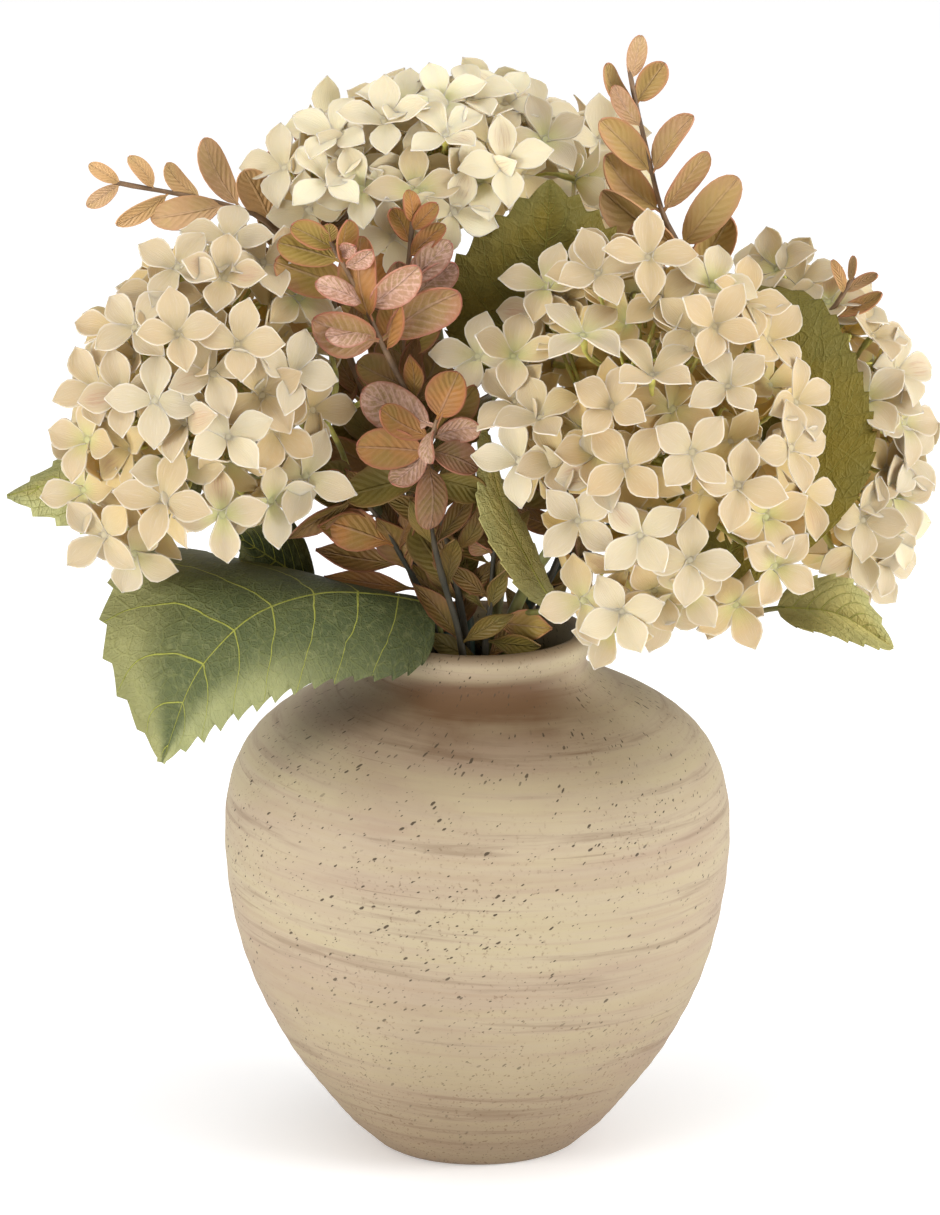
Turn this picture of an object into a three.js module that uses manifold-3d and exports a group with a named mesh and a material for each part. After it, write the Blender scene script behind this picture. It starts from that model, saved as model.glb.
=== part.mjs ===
// Hydrangeas in a round-shouldered stoneware vase, built as named closed solids.
// Millimetres, +Z up. The origin is the centre of the vase's resting face, and -Y is the front.

import * as THREE from "three";
import { mergeVertices } from "three/addons/utils/BufferGeometryUtils.js";
import Module from "manifold-3d";

const wasm = await Module();
wasm.setup();

// ---------------------------------------------------------------- driving dimensions

const CLEARANCE = 0.4; // left between two pieces that touch on the real thing

const VASE_HEIGHT = 203;
const VASE_FLOOR = 7;
const VASE_SEGMENTS = 38;
// Outside and inside of the wall as [radius, height], from the axis up and from the rim down.
const VASE_OUTSIDE = [
  [0, 0],
  [36, 0],
  [40.5, 2.5],
  [61.4, 25],
  [78, 50],
  [88.7, 75],
  [95, 102],
  [96.5, 127],
  [92, 150],
  [80.8, 165],
  [63, 176.5],
  [46.5, 184],
  [41, 190.5],
  [43, 195],
  [42.3, 200],
];
const VASE_INSIDE = [
  [38.6, VASE_HEIGHT],
  [36.2, 200],
  [36, 187],
  [86, 148],
  [89, 105],
  [68, 45],
  [36, VASE_FLOOR],
  [0, VASE_FLOOR],
];

const FOAM_RADIUS = 33;
const FOAM_TOP = 165;
const FOAM_SEGMENTS = 30;
const STEM_FOOT = 125; // height in the foam at which every stem ends
const STEM_STRAIGHT = 182; // height up to which it stands upright

const STEM_STEPS = 10; // straight pieces in a bloom's or a spray's stem
const BLOOM_STEM_RADIUS = 2.4;
const SPRAY_STEM_RADIUS = 1.3;
const LEAF_STALK_RADIUS = 1.5;

const BLADE_THICKNESS = 0.9;
const TOOTH_DEPTH = 2.2;
const SPRAY_LEAF_THICKNESS = 1.5;
const SPRAY_WIDE_LEAF = 10; // leaves wider than this have eight corners, the others six

const CORE_SHARE = 0.6; // size of a bloom's branched heart against the whole bloom
const FLORET_REACH = 0.9; // where the florets' centres stand against the bloom's outline
const FLORET_RADIUS = 22;
const FLORET_DEPTH = 2.6;
const PEDICEL_RADIUS = 1.4;

// ---------------------------------------------------------------- the flowers

// One hydrangea head each: centre, half sizes, lean to the right in degrees, number of florets,
// its stem from the foam to the heart, and the large leaves on that stem.
const HEADS = [
  {
    name: "right",
    centre: [69, -48, 288],
    half: [67, 58, 90],
    lean: -3,
    florets: 44,
    seed: 11,
    stem: [[9, -10], [12, -14, 208], [27, -24, 240], [48, -38, 268], [64, -46, 283]],
    leaves: [
      {
        rib: [[29, -38, 221], [20, -44, 238], [8, -48, 266], [1, -46, 299]],
        left: [[-0.6, -0.75, -0.1], [-0.55, -0.8, 0.1]],
        right: [[0.4, 0.9, 0.1], [0.3, 0.95, 0.1]],
        half: [18, 16],
        teeth: 7,
        from: 0.49,
        stalk: [[23, -28, 217], [29, -38, 222]],
      },
    ],
  },
  {
    name: "left",
    centre: [-104, -38, 302],
    half: [55, 52, 75],
    lean: 9,
    florets: 34,
    seed: 23,
    stem: [[-10, 2], [-14, 0, 208], [-32, -4, 244], [-62, -16, 274], [-94, -34, 296]],
    leaves: [
      {
        rib: [[-104, 2, 262], [-126, 1, 264], [-152, -2, 262], [-178, -5, 256]],
        left: [[0.1, -0.3, -0.94], [0.2, -0.3, -0.93]],
        right: [[0, 0.92, 0.35], [0.1, 0.9, 0.35]],
        half: [25, 22],
        teeth: 8,
        from: 0.71,
        stalk: [[-76, -3, 263], [-106, 2, 262]],
      },
      {
        rib: [[-62, 6, 217], [-76, 3, 228], [-94, 0, 241]],
        left: [[-0.2, -0.2, -0.95], [-0.3, -0.2, -0.9]],
        right: [[0.1, 0.3, 0.95], [-0.1, 0.3, 0.95]],
        half: [12, 19],
        teeth: 5,
        from: 0.42,
        stalk: [[-38, 5, 215], [-63, 6, 217.5]],
      },
    ],
  },
  {
    name: "top",
    centre: [-22, 30, 370],
    half: [62, 54, 43],
    lean: 0,
    florets: 32,
    seed: 37,
    stem: [[-3, 8], [-4, 10, 210], [-8, 16, 262], [-16, 24, 320], [-20, 28, 358]],
    leaves: [
      {
        rib: [[12, 4, 298], [18, -2, 322], [25, -9, 352], [27, -16, 381]],
        left: [[-0.95, -0.15, 0.2], [-0.93, -0.2, 0.1]],
        right: [[0.93, 0.15, 0.25], [0.93, 0.2, 0.1]],
        half: [34, 33],
        teeth: 8,
        from: 0.58,
        stalk: [[-1, 13, 282], [12.5, 4, 299.5]],
      },
    ],
  },
  {
    name: "far_right",
    centre: [123, 45, 269],
    half: [50, 49, 77],
    lean: -3,
    florets: 30,
    seed: 41,
    stem: [[13, 4], [18, 6, 208], [44, 17, 233], [82, 33, 252], [114, 43, 267]],
    leaves: [
      {
        rib: [[93, -5, 219], [99, 0, 253], [101, 3, 291], [101, 10, 321], [99, 32, 329]],
        left: [[-0.85, 0.5, 0], [-0.85, 0.5, 0.1]],
        right: [[0.95, 0, 0.1], [0.95, 0.1, 0.25]],
        half: [28, 50],
        teeth: 9,
        from: 0.6,
        stalk: [[66, 8, 227], [93.5, -4.5, 221]],
      },
      {
        rib: [[114, -5, 212], [136, -14, 212], [157, -22, 201]],
        left: [[0.1, 0.5, 0.85], [0.25, 0.5, 0.8]],
        right: [[-0.1, -0.8, -0.5], [0, -0.8, -0.55]],
        half: [24, 20],
        teeth: 6,
        from: 0.5,
        stalk: [[58, 7, 209], [90, -1, 207], [115, -5.5, 212]],
      },
    ],
  },
  {
    name: "back",
    centre: [33, 78, 335],
    half: [33, 44, 53],
    lean: 0,
    florets: 20,
    seed: 53,
    stem: [[6, 16], [8, 20, 210], [17, 38, 260], [27, 63, 312], [32, 76, 328]],
    leaves: [],
  },
];

// The large leaf at the front left hangs over the rim on a stalk of its own.
const FRONT_LEAF = {
  rib: [
    [-17, -24, 219],
    [-38, -38, 226.5],
    [-60, -43, 228],
    [-83, -50, 222],
    [-98, -56, 210],
    [-107, -60, 198],
    [-118, -66, 169],
  ],
  left: [[0.1, -0.5, -0.86], [0.45, -0.42, -0.79], [0.75, -0.3, -0.55]],
  right: [[0, 0.93, -0.37], [-0.68, 0.58, 0.45], [-0.94, 0.25, 0.25]],
  half: [38, 51],
  teeth: 12,
  stalk: [[-13, -17], [-14, -19, 207], [-18, -25, 220]],
};

// Sprays of small oval leaves: the stem from the foam, then each leaf as
// [place along the stem, tip x, tip y, tip z, width].
const SPRAYS = [
  {
    name: "spray_front",
    stem: [[-2, -13], [-6, -19, 215], [-15, -34, 262], [-25, -48, 304], [-33, -54, 322],
      [-41, -57, 345], [-48, -58, 361], [-53, -57, 371]],
    leaves: [
      [0.76, -61, -63, 339, 16],
      [0.77, -6, -62, 347, 19],
      [0.84, -60, -64, 350, 11],
      [0.85, -22, -63, 357, 12],
      [0.9, -75, -58, 359, 12],
      [0.91, -37, -63, 366, 9],
      [0.95, -74, -54, 369, 11],
      [0.96, -45, -58, 377, 8],
      [0.98, -60, -58, 378, 8],
      [0.7, -48, -60, 325, 10],
    ],
  },
  {
    name: "spray_middle",
    stem: [[-4, -6], [-7, -12, 215], [-16, -24, 262], [-26, -34, 305], [-27, -30, 338],
      [-25, -26, 360], [-24, -24, 371]],
    leaves: [
      [0.8, -9, -32, 349, 9],
      [0.86, -7, -31, 359, 10],
      [0.88, -37, -28, 360, 8],
      [0.93, -16, -28, 372, 8],
      [0.95, -34, -27, 373, 8],
      [0.98, -26, -24, 382, 7],
    ],
  },
  {
    name: "spray_centre",
    stem: [[-4, -22], [-7, -28, 208], [-14, -38, 236], [-19, -50, 266], [-18, -63, 289]],
    leaves: [
      [0.96, -42, -64, 306, 15],
      [0.97, -33, -64, 315, 13],
      [0.97, -5, -62, 316, 15],
      [0.95, 1, -62, 306, 12],
      [0.93, -45, -64, 287, 15],
      [0.95, -31, -70, 276, 12],
      [0.86, -17, -62, 258, 17],
      [0.95, 1, -66, 292, 11],
      [0.9, 0, -61, 277, 12],
      [0.98, -19, -74, 300, 9],
    ],
  },
  {
    name: "spray_right_top",
    stem: [[18, -4], [23, -2, 210], [46, 9, 262], [72, 15, 312], [83, 13, 338],
      [74, 12, 361], [67, 10, 387], [61, 8, 409], [59, 8, 420]],
    leaves: [
      [0.86, 46, 6, 399, 13],
      [0.86, 81, 4, 401, 12],
      [0.81, 48, 8, 385, 11],
      [0.81, 86, 6, 387, 11],
      [0.76, 47, 6, 372, 13],
      [0.76, 98, 6, 377, 13],
      [0.7, 60, 2, 361, 12],
      [0.7, 95, 10, 361, 10],
      [0.95, 71, 6, 421, 11],
      [0.98, 61, 8, 431, 9],
      [0.94, 48, 8, 420, 6],
      [0.92, 51, 7, 412, 6],
    ],
  },
  {
    name: "spray_left",
    stem: [[-12, 9], [-16, 12, 210], [-36, 17, 270], [-60, 18, 330], [-80, 15, 358],
      [-94, 11, 365], [-112, 8, 370], [-131, 6, 374], [-140, 6, 376]],
    leaves: [
      [0.83, -103, 10, 391, 8],
      [0.78, -88, 9, 379, 14],
      [0.88, -117, 7, 382, 7],
      [0.85, -123, 5, 361, 9],
      [0.92, -136, 5, 359, 5],
      [0.94, -131, 6, 385, 5],
      [0.98, -147, 6, 366, 5],
      [0.98, -146, 6, 382, 5],
    ],
  },
  {
    name: "spray_low_left",
    stem: [[-14, -9], [-18, -12, 212], [-28, -16, 234], [-37, -20, 251], [-47, -24, 264]],
    leaves: [
      [0.85, -60, -30, 251, 12],
      [0.78, -60, -26, 240, 11],
      [0.98, -62, -32, 270, 12],
      [0.7, -56, -20, 226, 8],
      [0.95, -37, -30, 276, 11],
      [0.8, -25, -18, 259, 11],
    ],
  },
  {
    name: "spray_far_right",
    stem: [[19, 1], [25, 4, 210], [48, 7, 238], [68, 17, 258], [97, 22, 288],
      [120, 16, 310], [135, 18, 324], [142, 17, 336]],
    leaves: [
      [0.97, 134, 15, 343, 6],
      [0.97, 151, 13, 338, 6],
      [0.93, 153, 15, 330, 6],
      [0.99, 142, 13, 345, 5],
    ],
  },
  {
    name: "spray_back_left",
    stem: [[-7, 17], [-12, 24, 210], [-24, 48, 270], [-44, 70, 325], [-58, 82, 352],
      [-66, 84, 371]],
    leaves: [
      [0.98, -70, 84, 382, 6],
      [0.98, -61, 84, 383, 6],
      [0.92, -80, 88, 369, 12],
      [0.88, -48, 94, 365, 12],
      [0.82, -70, 90, 346, 14],
      [0.76, -38, 90, 340, 14],
      [0.68, -56, 82, 322, 13],
    ],
  },
  {
    name: "spray_low_right",
    stem: [[3, -20], [3, -22, 202], [5, -24, 220], [6, -26, 238], [8, -27, 252]],
    leaves: [
      [0.66, 30, -30, 211, 9],
      [0.95, -9, -32, 262, 10],
      [0.85, -6, -30, 246, 9],
      [0.85, 16, -30, 243, 10],
      [0.75, -13, -26, 233, 8],
      [0.98, 12, -32, 264, 10],
    ],
  },
];

// ---------------------------------------------------------------- materials

const STONEWARE = new THREE.MeshStandardMaterial({ color: 0xd0c19d, roughness: 0.6, metalness: 0 });
const FOAM = new THREE.MeshStandardMaterial({ color: 0x3f4531, roughness: 0.95, metalness: 0 });
const PETAL = new THREE.MeshStandardMaterial({ color: 0xf0e3c9, roughness: 0.62, metalness: 0 });
const GREEN = new THREE.MeshStandardMaterial({ color: 0x6d7c3f, roughness: 0.65, metalness: 0 });
const RUSSET = new THREE.MeshStandardMaterial({ color: 0x9c6a52, roughness: 0.65, metalness: 0 });

// ---------------------------------------------------------------- solids and booleans

// A closed three.js geometry as a manifold solid.
function solidOf(geometry) {
  const bare = geometry.clone();
  bare.deleteAttribute("normal");
  bare.deleteAttribute("uv");
  const merged = mergeVertices(bare, 1e-3);
  return new wasm.Manifold(
    new wasm.Mesh({
      numProp: 3,
      vertProperties: merged.attributes.position.array,
      triVerts: new Uint32Array(merged.index.array),
    }),
  );
}

// A manifold solid as a three.js geometry.
function geometryOf(solid) {
  const mesh = solid.getMesh();
  const positions = new Float32Array(mesh.numVert * 3);
  for (let i = 0; i < mesh.numVert; i++) {
    const first = i * mesh.numProp;
    positions.set(mesh.vertProperties.subarray(first, first + 3), i * 3);
  }
  const geometry = new THREE.BufferGeometry();
  geometry.setAttribute("position", new THREE.BufferAttribute(positions, 3));
  geometry.setIndex(new THREE.BufferAttribute(mesh.triVerts, 1));
  geometry.computeVertexNormals();
  return geometry;
}

// A closed solid from points and index triples that face out.
function solidFrom(points, faces) {
  const geometry = new THREE.BufferGeometry();
  geometry.setAttribute(
    "position",
    new THREE.Float32BufferAttribute(points.flatMap((p) => p.toArray()), 3),
  );
  geometry.setIndex(faces.flat());
  const solid = solidOf(geometry);
  if (solid.volume() > 0) return solid;
  geometry.setIndex(faces.map(([a, b, c]) => [a, c, b]).flat());
  return solidOf(geometry);
}

// Seeded random numbers from 0 to 1.
function randomFrom(seed) {
  let state = seed * 2654435761;
  return () => {
    state = (state + 0x6d2b79f5) | 0;
    let t = Math.imul(state ^ (state >>> 15), 1 | state);
    t = (t + Math.imul(t ^ (t >>> 7), 61 | t)) ^ t;
    return ((t ^ (t >>> 14)) >>> 0) / 4294967296;
  };
}

const vector = (xyz) => new THREE.Vector3(...xyz);

// ---------------------------------------------------------------- stems

// The curve of a stem. A first point with no height stands in the foam.
function stemCurve(points, longer = 0) {
  const path = [];
  for (const point of points) {
    if (point.length === 2) {
      for (const height of [STEM_FOOT, FOAM_TOP, STEM_STRAIGHT]) {
        path.push(vector([...point, height]));
      }
    } else {
      path.push(vector(point));
    }
  }
  if (longer > 0) {
    const last = path[path.length - 1];
    const step = last.clone().sub(path[path.length - 2]).setLength(longer);
    path[path.length - 1] = last.clone().add(step);
  }
  return new THREE.CatmullRomCurve3(path);
}

// The point at a place from 0 to 1 along the straight pieces that a tube is made of.
function pointOn(curve, steps, place) {
  const points = curve.getSpacedPoints(steps);
  const first = Math.min(Math.floor(place * steps), steps - 1);
  return points[first].clone().lerp(points[first + 1], place * steps - first);
}

function tube(curve, radius, sides, steps) {
  const ring = [];
  for (let i = 0; i < sides; i++) {
    const angle = (i / sides) * Math.PI * 2;
    ring.push(new THREE.Vector2(Math.cos(angle) * radius, Math.sin(angle) * radius));
  }
  const geometry = new THREE.ExtrudeGeometry(new THREE.Shape(ring), {
    steps,
    bevelEnabled: false,
    extrudePath: curve,
  });
  return solidOf(geometry);
}

// ---------------------------------------------------------------- large leaves

// Half width along a large leaf as a share of its widest, from base to tip.
function leafOutline(t) {
  const round = Math.max(0, Math.sin(Math.PI * Math.pow(t, 0.78)));
  const pointed = 1 - 0.6 * Math.pow(t, 5);
  return Math.max(0.04, Math.pow(round, 0.72) * pointed);
}

// Direction of one half of the blade, between the directions given along the leaf.
function wingAt(directions, t) {
  const place = t * (directions.length - 1);
  const first = Math.min(Math.floor(place), directions.length - 2);
  return vector(directions[first]).lerp(vector(directions[first + 1]), place - first).normalize();
}

// A toothed blade with both faces split into the same triangles.
function largeLeaf(leaf) {
  const curve = new THREE.CatmullRomCurve3(leaf.rib.map(vector));
  const rows = leaf.teeth * 2;
  const upper = [];
  const lower = [];
  for (let row = 0; row <= rows; row++) {
    const t = row / rows;
    const middle = curve.getPointAt(t);
    const along = curve.getTangentAt(t);
    const onTooth = row % 2 === 1 ? 1 : 0;
    const width = leafOutline(t);
    const sweep = along.clone().multiplyScalar(onTooth * TOOTH_DEPTH);
    const edges = [leaf.left, leaf.right].map((wing, side) =>
      wingAt(wing, t)
        .multiplyScalar(width * leaf.half[side] + onTooth * TOOTH_DEPTH)
        .add(middle)
        .add(sweep),
    );
    const across = edges[1].clone().sub(edges[0]);
    const drop = across.cross(along).setLength(BLADE_THICKNESS);
    for (const point of [edges[0], middle, edges[1]]) {
      upper.push(point);
      lower.push(point.clone().add(drop));
    }
  }
  const under = upper.length;
  const faces = [];
  for (let row = 0; row < rows; row++) {
    for (const column of [0, 1]) {
      const a = row * 3 + column;
      const b = a + 1;
      const c = a + 4;
      const d = a + 3;
      faces.push([a, b, c], [a, c, d]);
      faces.push([under + a, under + c, under + b], [under + a, under + d, under + c]);
    }
    const left = row * 3;
    const right = left + 2;
    faces.push([left, left + 3, under + left + 3], [left, under + left + 3, under + left]);
    faces.push([right, under + right + 3, right + 3], [right, under + right, under + right + 3]);
  }
  for (const column of [0, 1]) {
    const a = column;
    const z = rows * 3 + column;
    faces.push([a, under + a, under + a + 1], [a, under + a + 1, a + 1]);
    faces.push([z, z + 1, under + z + 1], [z, under + z + 1, under + z]);
  }
  return solidFrom([...upper, ...lower], faces);
}

// A large leaf with the stalk that joins it to its stem, or that stands in the foam.
function stalkedLeaf(leaf, stem) {
  const start = stem ? [pointOn(stem, STEM_STEPS, leaf.from).toArray()] : [];
  const curve = stemCurve([...start, ...leaf.stalk]);
  return largeLeaf(leaf).add(tube(curve, LEAF_STALK_RADIUS, 5, stem ? 4 : 8));
}

// ---------------------------------------------------------------- sprays

// A small oval leaf, thickest in the middle, from a point in its stem to its tip.
function ovalLeaf(base, tip, width) {
  const along = tip.clone().sub(base);
  const length = along.length();
  along.normalize();
  const face = new THREE.Vector3(0, -1, 0.3);
  face.addScaledVector(along, -face.dot(along)).normalize();
  const across = along.clone().cross(face);
  const sides = width > SPRAY_WIDE_LEAF ? 8 : 6;
  const points = [];
  for (let i = 0; i < sides; i++) {
    const angle = (i / sides) * Math.PI * 2;
    const forward = (length * (1 - Math.cos(angle))) / 2;
    points.push(
      base
        .clone()
        .addScaledVector(along, forward)
        .addScaledVector(across, (Math.sin(angle) * width) / 2),
    );
  }
  const middle = base.clone().addScaledVector(along, length * 0.45);
  points.push(middle.clone().addScaledVector(face, SPRAY_LEAF_THICKNESS / 2));
  points.push(middle.clone().addScaledVector(face, -SPRAY_LEAF_THICKNESS / 2));
  const faces = [];
  for (let i = 0; i < sides; i++) {
    const next = (i + 1) % sides;
    faces.push([sides, i, next], [sides + 1, next, i]);
  }
  return solidFrom(points, faces);
}

// A spray with each of its leaves that stays clear of what is already there.
function sprayOf(spray, placed) {
  const curve = stemCurve(spray.stem);
  let solid = tube(curve, SPRAY_STEM_RADIUS, 4, STEM_STEPS);
  for (const [place, x, y, z, width] of spray.leaves) {
    const base = pointOn(curve, STEM_STEPS, place);
    const leaf = ovalLeaf(base, vector([x, y, z]), width);
    if (isClear(leaf, placed)) solid = solid.add(leaf);
  }
  return solid;
}

// ---------------------------------------------------------------- blooms

// Petal edge as [angle in degrees, distance, rise], both as shares of the floret's radius.
const PETAL_EDGE = [
  [-45, 0.2, 0],
  [-30, 0.7, 0.14],
  [0, 1, 0.12],
  [30, 0.7, 0.14],
];
const PETALS = 4;
const PEDICEL_SIDES = 3;

// A floret of four joined petals on a pedicel that ends in the heart of the bloom.
function floret(centre, facing, spin, radius, root) {
  const up = facing.clone().normalize();
  const side = new THREE.Vector3(0.3, 1, 0.2).cross(up).normalize();
  const front = up.clone().cross(side);
  const place = (angle, reach, rise) =>
    centre
      .clone()
      .addScaledVector(side, Math.cos(angle) * reach)
      .addScaledVector(front, Math.sin(angle) * reach)
      .addScaledVector(up, rise);
  const points = [];
  for (let petal = 0; petal < PETALS; petal++) {
    for (const [degrees, reach, rise] of PETAL_EDGE) {
      const angle = THREE.MathUtils.degToRad(degrees + (petal * 360) / PETALS) + spin;
      points.push(place(angle, reach * radius, rise * radius));
    }
  }
  const edge = points.length;
  const neck = edge + 1;
  const foot = neck + PEDICEL_SIDES;
  points.push(centre.clone());
  const pull = root.clone().sub(centre).normalize();
  for (const [from, shift] of [[centre, -FLORET_DEPTH], [root, 0]]) {
    for (let i = 0; i < PEDICEL_SIDES; i++) {
      const angle = spin + (i / PEDICEL_SIDES) * Math.PI * 2;
      const spoke = side
        .clone()
        .multiplyScalar(Math.cos(angle) * PEDICEL_RADIUS)
        .addScaledVector(front, Math.sin(angle) * PEDICEL_RADIUS);
      if (from === root) spoke.addScaledVector(pull, -spoke.dot(pull));
      points.push(from.clone().add(spoke).addScaledVector(up, shift));
    }
  }
  const faces = [];
  const ringOf = (i) => Math.floor((i * PEDICEL_SIDES) / edge + 0.5) % PEDICEL_SIDES;
  for (let i = 0; i < edge; i++) {
    const next = (i + 1) % edge;
    faces.push([edge, i, next]);
    faces.push([next, i, neck + ringOf(i)]);
    if (ringOf(i) !== ringOf(next)) faces.push([next, neck + ringOf(i), neck + ringOf(next)]);
  }
  for (let i = 0; i < PEDICEL_SIDES; i++) {
    const next = (i + 1) % PEDICEL_SIDES;
    faces.push([neck + i, foot + next, neck + next], [neck + i, foot + i, foot + next]);
  }
  faces.push([foot, foot + 2, foot + 1]);
  return solidFrom(points, faces);
}

// True where a solid keeps clear of every solid that is already placed.
function isClear(solid, placed) {
  const a = solid.boundingBox();
  return placed.every((other) => {
    const b = other.boundingBox();
    const apart = [0, 1, 2].some(
      (axis) => a.min[axis] > b.max[axis] + CLEARANCE || b.min[axis] > a.max[axis] + CLEARANCE,
    );
    return apart || solid.minGap(other, CLEARANCE) >= CLEARANCE;
  });
}

// A point or direction in a head's own axes, turned by the head's lean to the right.
function leaned(head, x, y, z) {
  const axis = new THREE.Vector3(0, 1, 0);
  return new THREE.Vector3(x, y, z).applyAxisAngle(axis, THREE.MathUtils.degToRad(head.lean));
}

// A head of florets round a small heart. Florets are spread evenly by the golden angle, and one
// that would cross a neighbouring piece is drawn in and made smaller, or left out.
function bloomOf(head, placed) {
  const random = randomFrom(head.seed);
  const centre = vector(head.centre);
  const heartOf = (share) => {
    const heart = new THREE.SphereGeometry(1, 8, 6);
    heart.scale(...head.half.map((size) => size * share));
    heart.rotateY(THREE.MathUtils.degToRad(head.lean));
    return solidOf(heart.translate(...head.centre));
  };
  const share = [1, 0.85, 0.7].map((s) => s * CORE_SHARE).find((s) => isClear(heartOf(s), placed));
  let solid = heartOf(share);
  const inner = vector(head.stem[head.stem.length - 2]).sub(centre).normalize();
  for (let i = 0; i < head.florets; i++) {
    const height = 1 - (2 * (i + 0.5)) / head.florets;
    const turn = i * Math.PI * (3 - Math.sqrt(5)) + head.seed;
    const round = Math.sqrt(1 - height * height);
    const unit = [round * Math.cos(turn), round * Math.sin(turn), height];
    const jitter = [random(), random(), random()].map((r) => (r - 0.5) * 0.5);
    const spin = random() * Math.PI;
    const size = FLORET_RADIUS * (0.92 + 0.16 * random());
    const out = leaned(head, ...unit.map((u, axis) => u * head.half[axis]));
    if (out.clone().normalize().dot(inner) > 0.9) continue;
    const facing = leaned(head, ...unit.map((u, axis) => u / head.half[axis]))
      .normalize()
      .add(vector(jitter));
    const root = centre.clone().addScaledVector(out, share * 0.6);
    for (const [reach, scale] of [[1, 1], [0.92, 0.85], [0.84, 0.7]]) {
      const seat = centre.clone().addScaledVector(out, FLORET_REACH * reach);
      const made = floret(seat, facing, spin, size * scale, root);
      if (isClear(made, placed)) {
        solid = solid.add(made);
        break;
      }
    }
  }
  return solid;
}

// ---------------------------------------------------------------- vase and foam

function lathe(profile, segments) {
  return solidOf(
    new THREE.LatheGeometry(profile.map(([r, z]) => new THREE.Vector2(r, z)), segments).rotateX(
      Math.PI / 2,
    ),
  );
}

const vase = lathe([...VASE_OUTSIDE, ...VASE_INSIDE], VASE_SEGMENTS);

let foam = lathe(
  [
    [0, VASE_FLOOR + CLEARANCE],
    [FOAM_RADIUS, VASE_FLOOR + CLEARANCE],
    [FOAM_RADIUS, FOAM_TOP],
    [0, FOAM_TOP],
  ],
  FOAM_SEGMENTS,
);

// ---------------------------------------------------------------- assembly

const part = new THREE.Group();
part.name = "hydrangeas_in_vase";

function place(name, solid, material) {
  const mesh = new THREE.Mesh(geometryOf(solid), material.clone());
  mesh.name = name;
  part.add(mesh);
}

const bareStems = HEADS.map((head) => tube(stemCurve(head.stem), BLOOM_STEM_RADIUS, 6, STEM_STEPS));
const leaves = HEADS.map((head) =>
  head.leaves.map((leaf) => stalkedLeaf(leaf, stemCurve(head.stem))),
);
const frontLeaf = stalkedLeaf(FRONT_LEAF);
const placed = [vase, ...bareStems, ...leaves.flat(), frontLeaf];

const sprays = SPRAYS.map((spray) => {
  const solid = sprayOf(spray, placed);
  placed.push(solid);
  return solid;
});

// Each bloom is kept clear of all but its own stem, which ends in a socket in its heart.
const blooms = HEADS.map((head, i) => {
  const others = placed.filter((solid) => solid !== bareStems[i]);
  const socketRadius = BLOOM_STEM_RADIUS + CLEARANCE * 1.3;
  const socket = tube(stemCurve(head.stem, CLEARANCE), socketRadius, 6, STEM_STEPS);
  const solid = bloomOf(head, others).subtract(socket);
  placed.push(solid);
  return solid;
});

for (const [[x, y], radius] of [
  ...HEADS.map((head) => [head.stem[0], BLOOM_STEM_RADIUS]),
  ...SPRAYS.map((spray) => [spray.stem[0], SPRAY_STEM_RADIUS]),
  [FRONT_LEAF.stalk[0], LEAF_STALK_RADIUS],
]) {
  const bottom = STEM_FOOT - CLEARANCE;
  const depth = FOAM_TOP + 1 - bottom;
  const hole = new THREE.CylinderGeometry(radius + CLEARANCE * 1.6, radius + CLEARANCE * 1.6, depth, 6);
  hole.rotateX(Math.PI / 2).translate(x, y, bottom + depth / 2);
  foam = foam.subtract(solidOf(hole));
}

place("vase", vase, STONEWARE);
place("foam", foam, FOAM);
HEADS.forEach((head, i) => {
  const leafy = leaves[i].reduce((solid, leaf) => solid.add(leaf), bareStems[i]);
  place("stem_" + head.name, leafy, GREEN);
  place("bloom_" + head.name, blooms[i], PETAL);
});
place("leaf_front", frontLeaf, GREEN);
SPRAYS.forEach((spray, i) => place(spray.name, sprays[i], RUSSET));

export default part;
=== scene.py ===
"""Hydrangeas in a round-shouldered stoneware vase, dressed over the packed solids.

Lengths in the tables are millimetres in the row frame: +Z up from the vase's resting face,
-Y towards the viewer. Everything that Blender gets is in metres.
"""

import math

import bpy
import numpy as np
from bpy.props import FloatProperty, FloatVectorProperty, IntProperty, PointerProperty
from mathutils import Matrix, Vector


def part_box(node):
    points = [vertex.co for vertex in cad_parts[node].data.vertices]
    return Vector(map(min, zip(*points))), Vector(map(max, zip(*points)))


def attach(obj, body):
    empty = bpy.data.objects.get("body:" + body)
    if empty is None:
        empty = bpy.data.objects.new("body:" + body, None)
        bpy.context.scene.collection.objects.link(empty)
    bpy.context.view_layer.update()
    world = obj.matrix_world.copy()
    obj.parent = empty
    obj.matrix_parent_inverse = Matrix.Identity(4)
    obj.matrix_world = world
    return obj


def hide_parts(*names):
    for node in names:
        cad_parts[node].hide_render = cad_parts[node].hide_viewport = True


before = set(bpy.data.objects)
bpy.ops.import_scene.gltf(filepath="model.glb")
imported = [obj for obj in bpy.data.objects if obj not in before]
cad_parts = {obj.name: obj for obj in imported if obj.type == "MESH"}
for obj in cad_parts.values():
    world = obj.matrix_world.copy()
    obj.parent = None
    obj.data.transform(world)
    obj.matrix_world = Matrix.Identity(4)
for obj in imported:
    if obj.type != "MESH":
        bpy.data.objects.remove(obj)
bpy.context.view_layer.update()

bl_info = {
    "name": "Hydrangeas in a Vase",
    "version": (1, 0, 0),
    "blender": (4, 5, 0),
    "location": "3D View > Sidebar > Hydrangeas",
    "description": "Builds hydrangea heads, leaves and oval-leaved sprigs in a stoneware vase",
    "category": "Add Mesh",
}

MM = 0.001
GOLDEN_ANGLE = math.pi * (3 - math.sqrt(5))

# ------------------------------------------------------------------ the photograph's view

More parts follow.
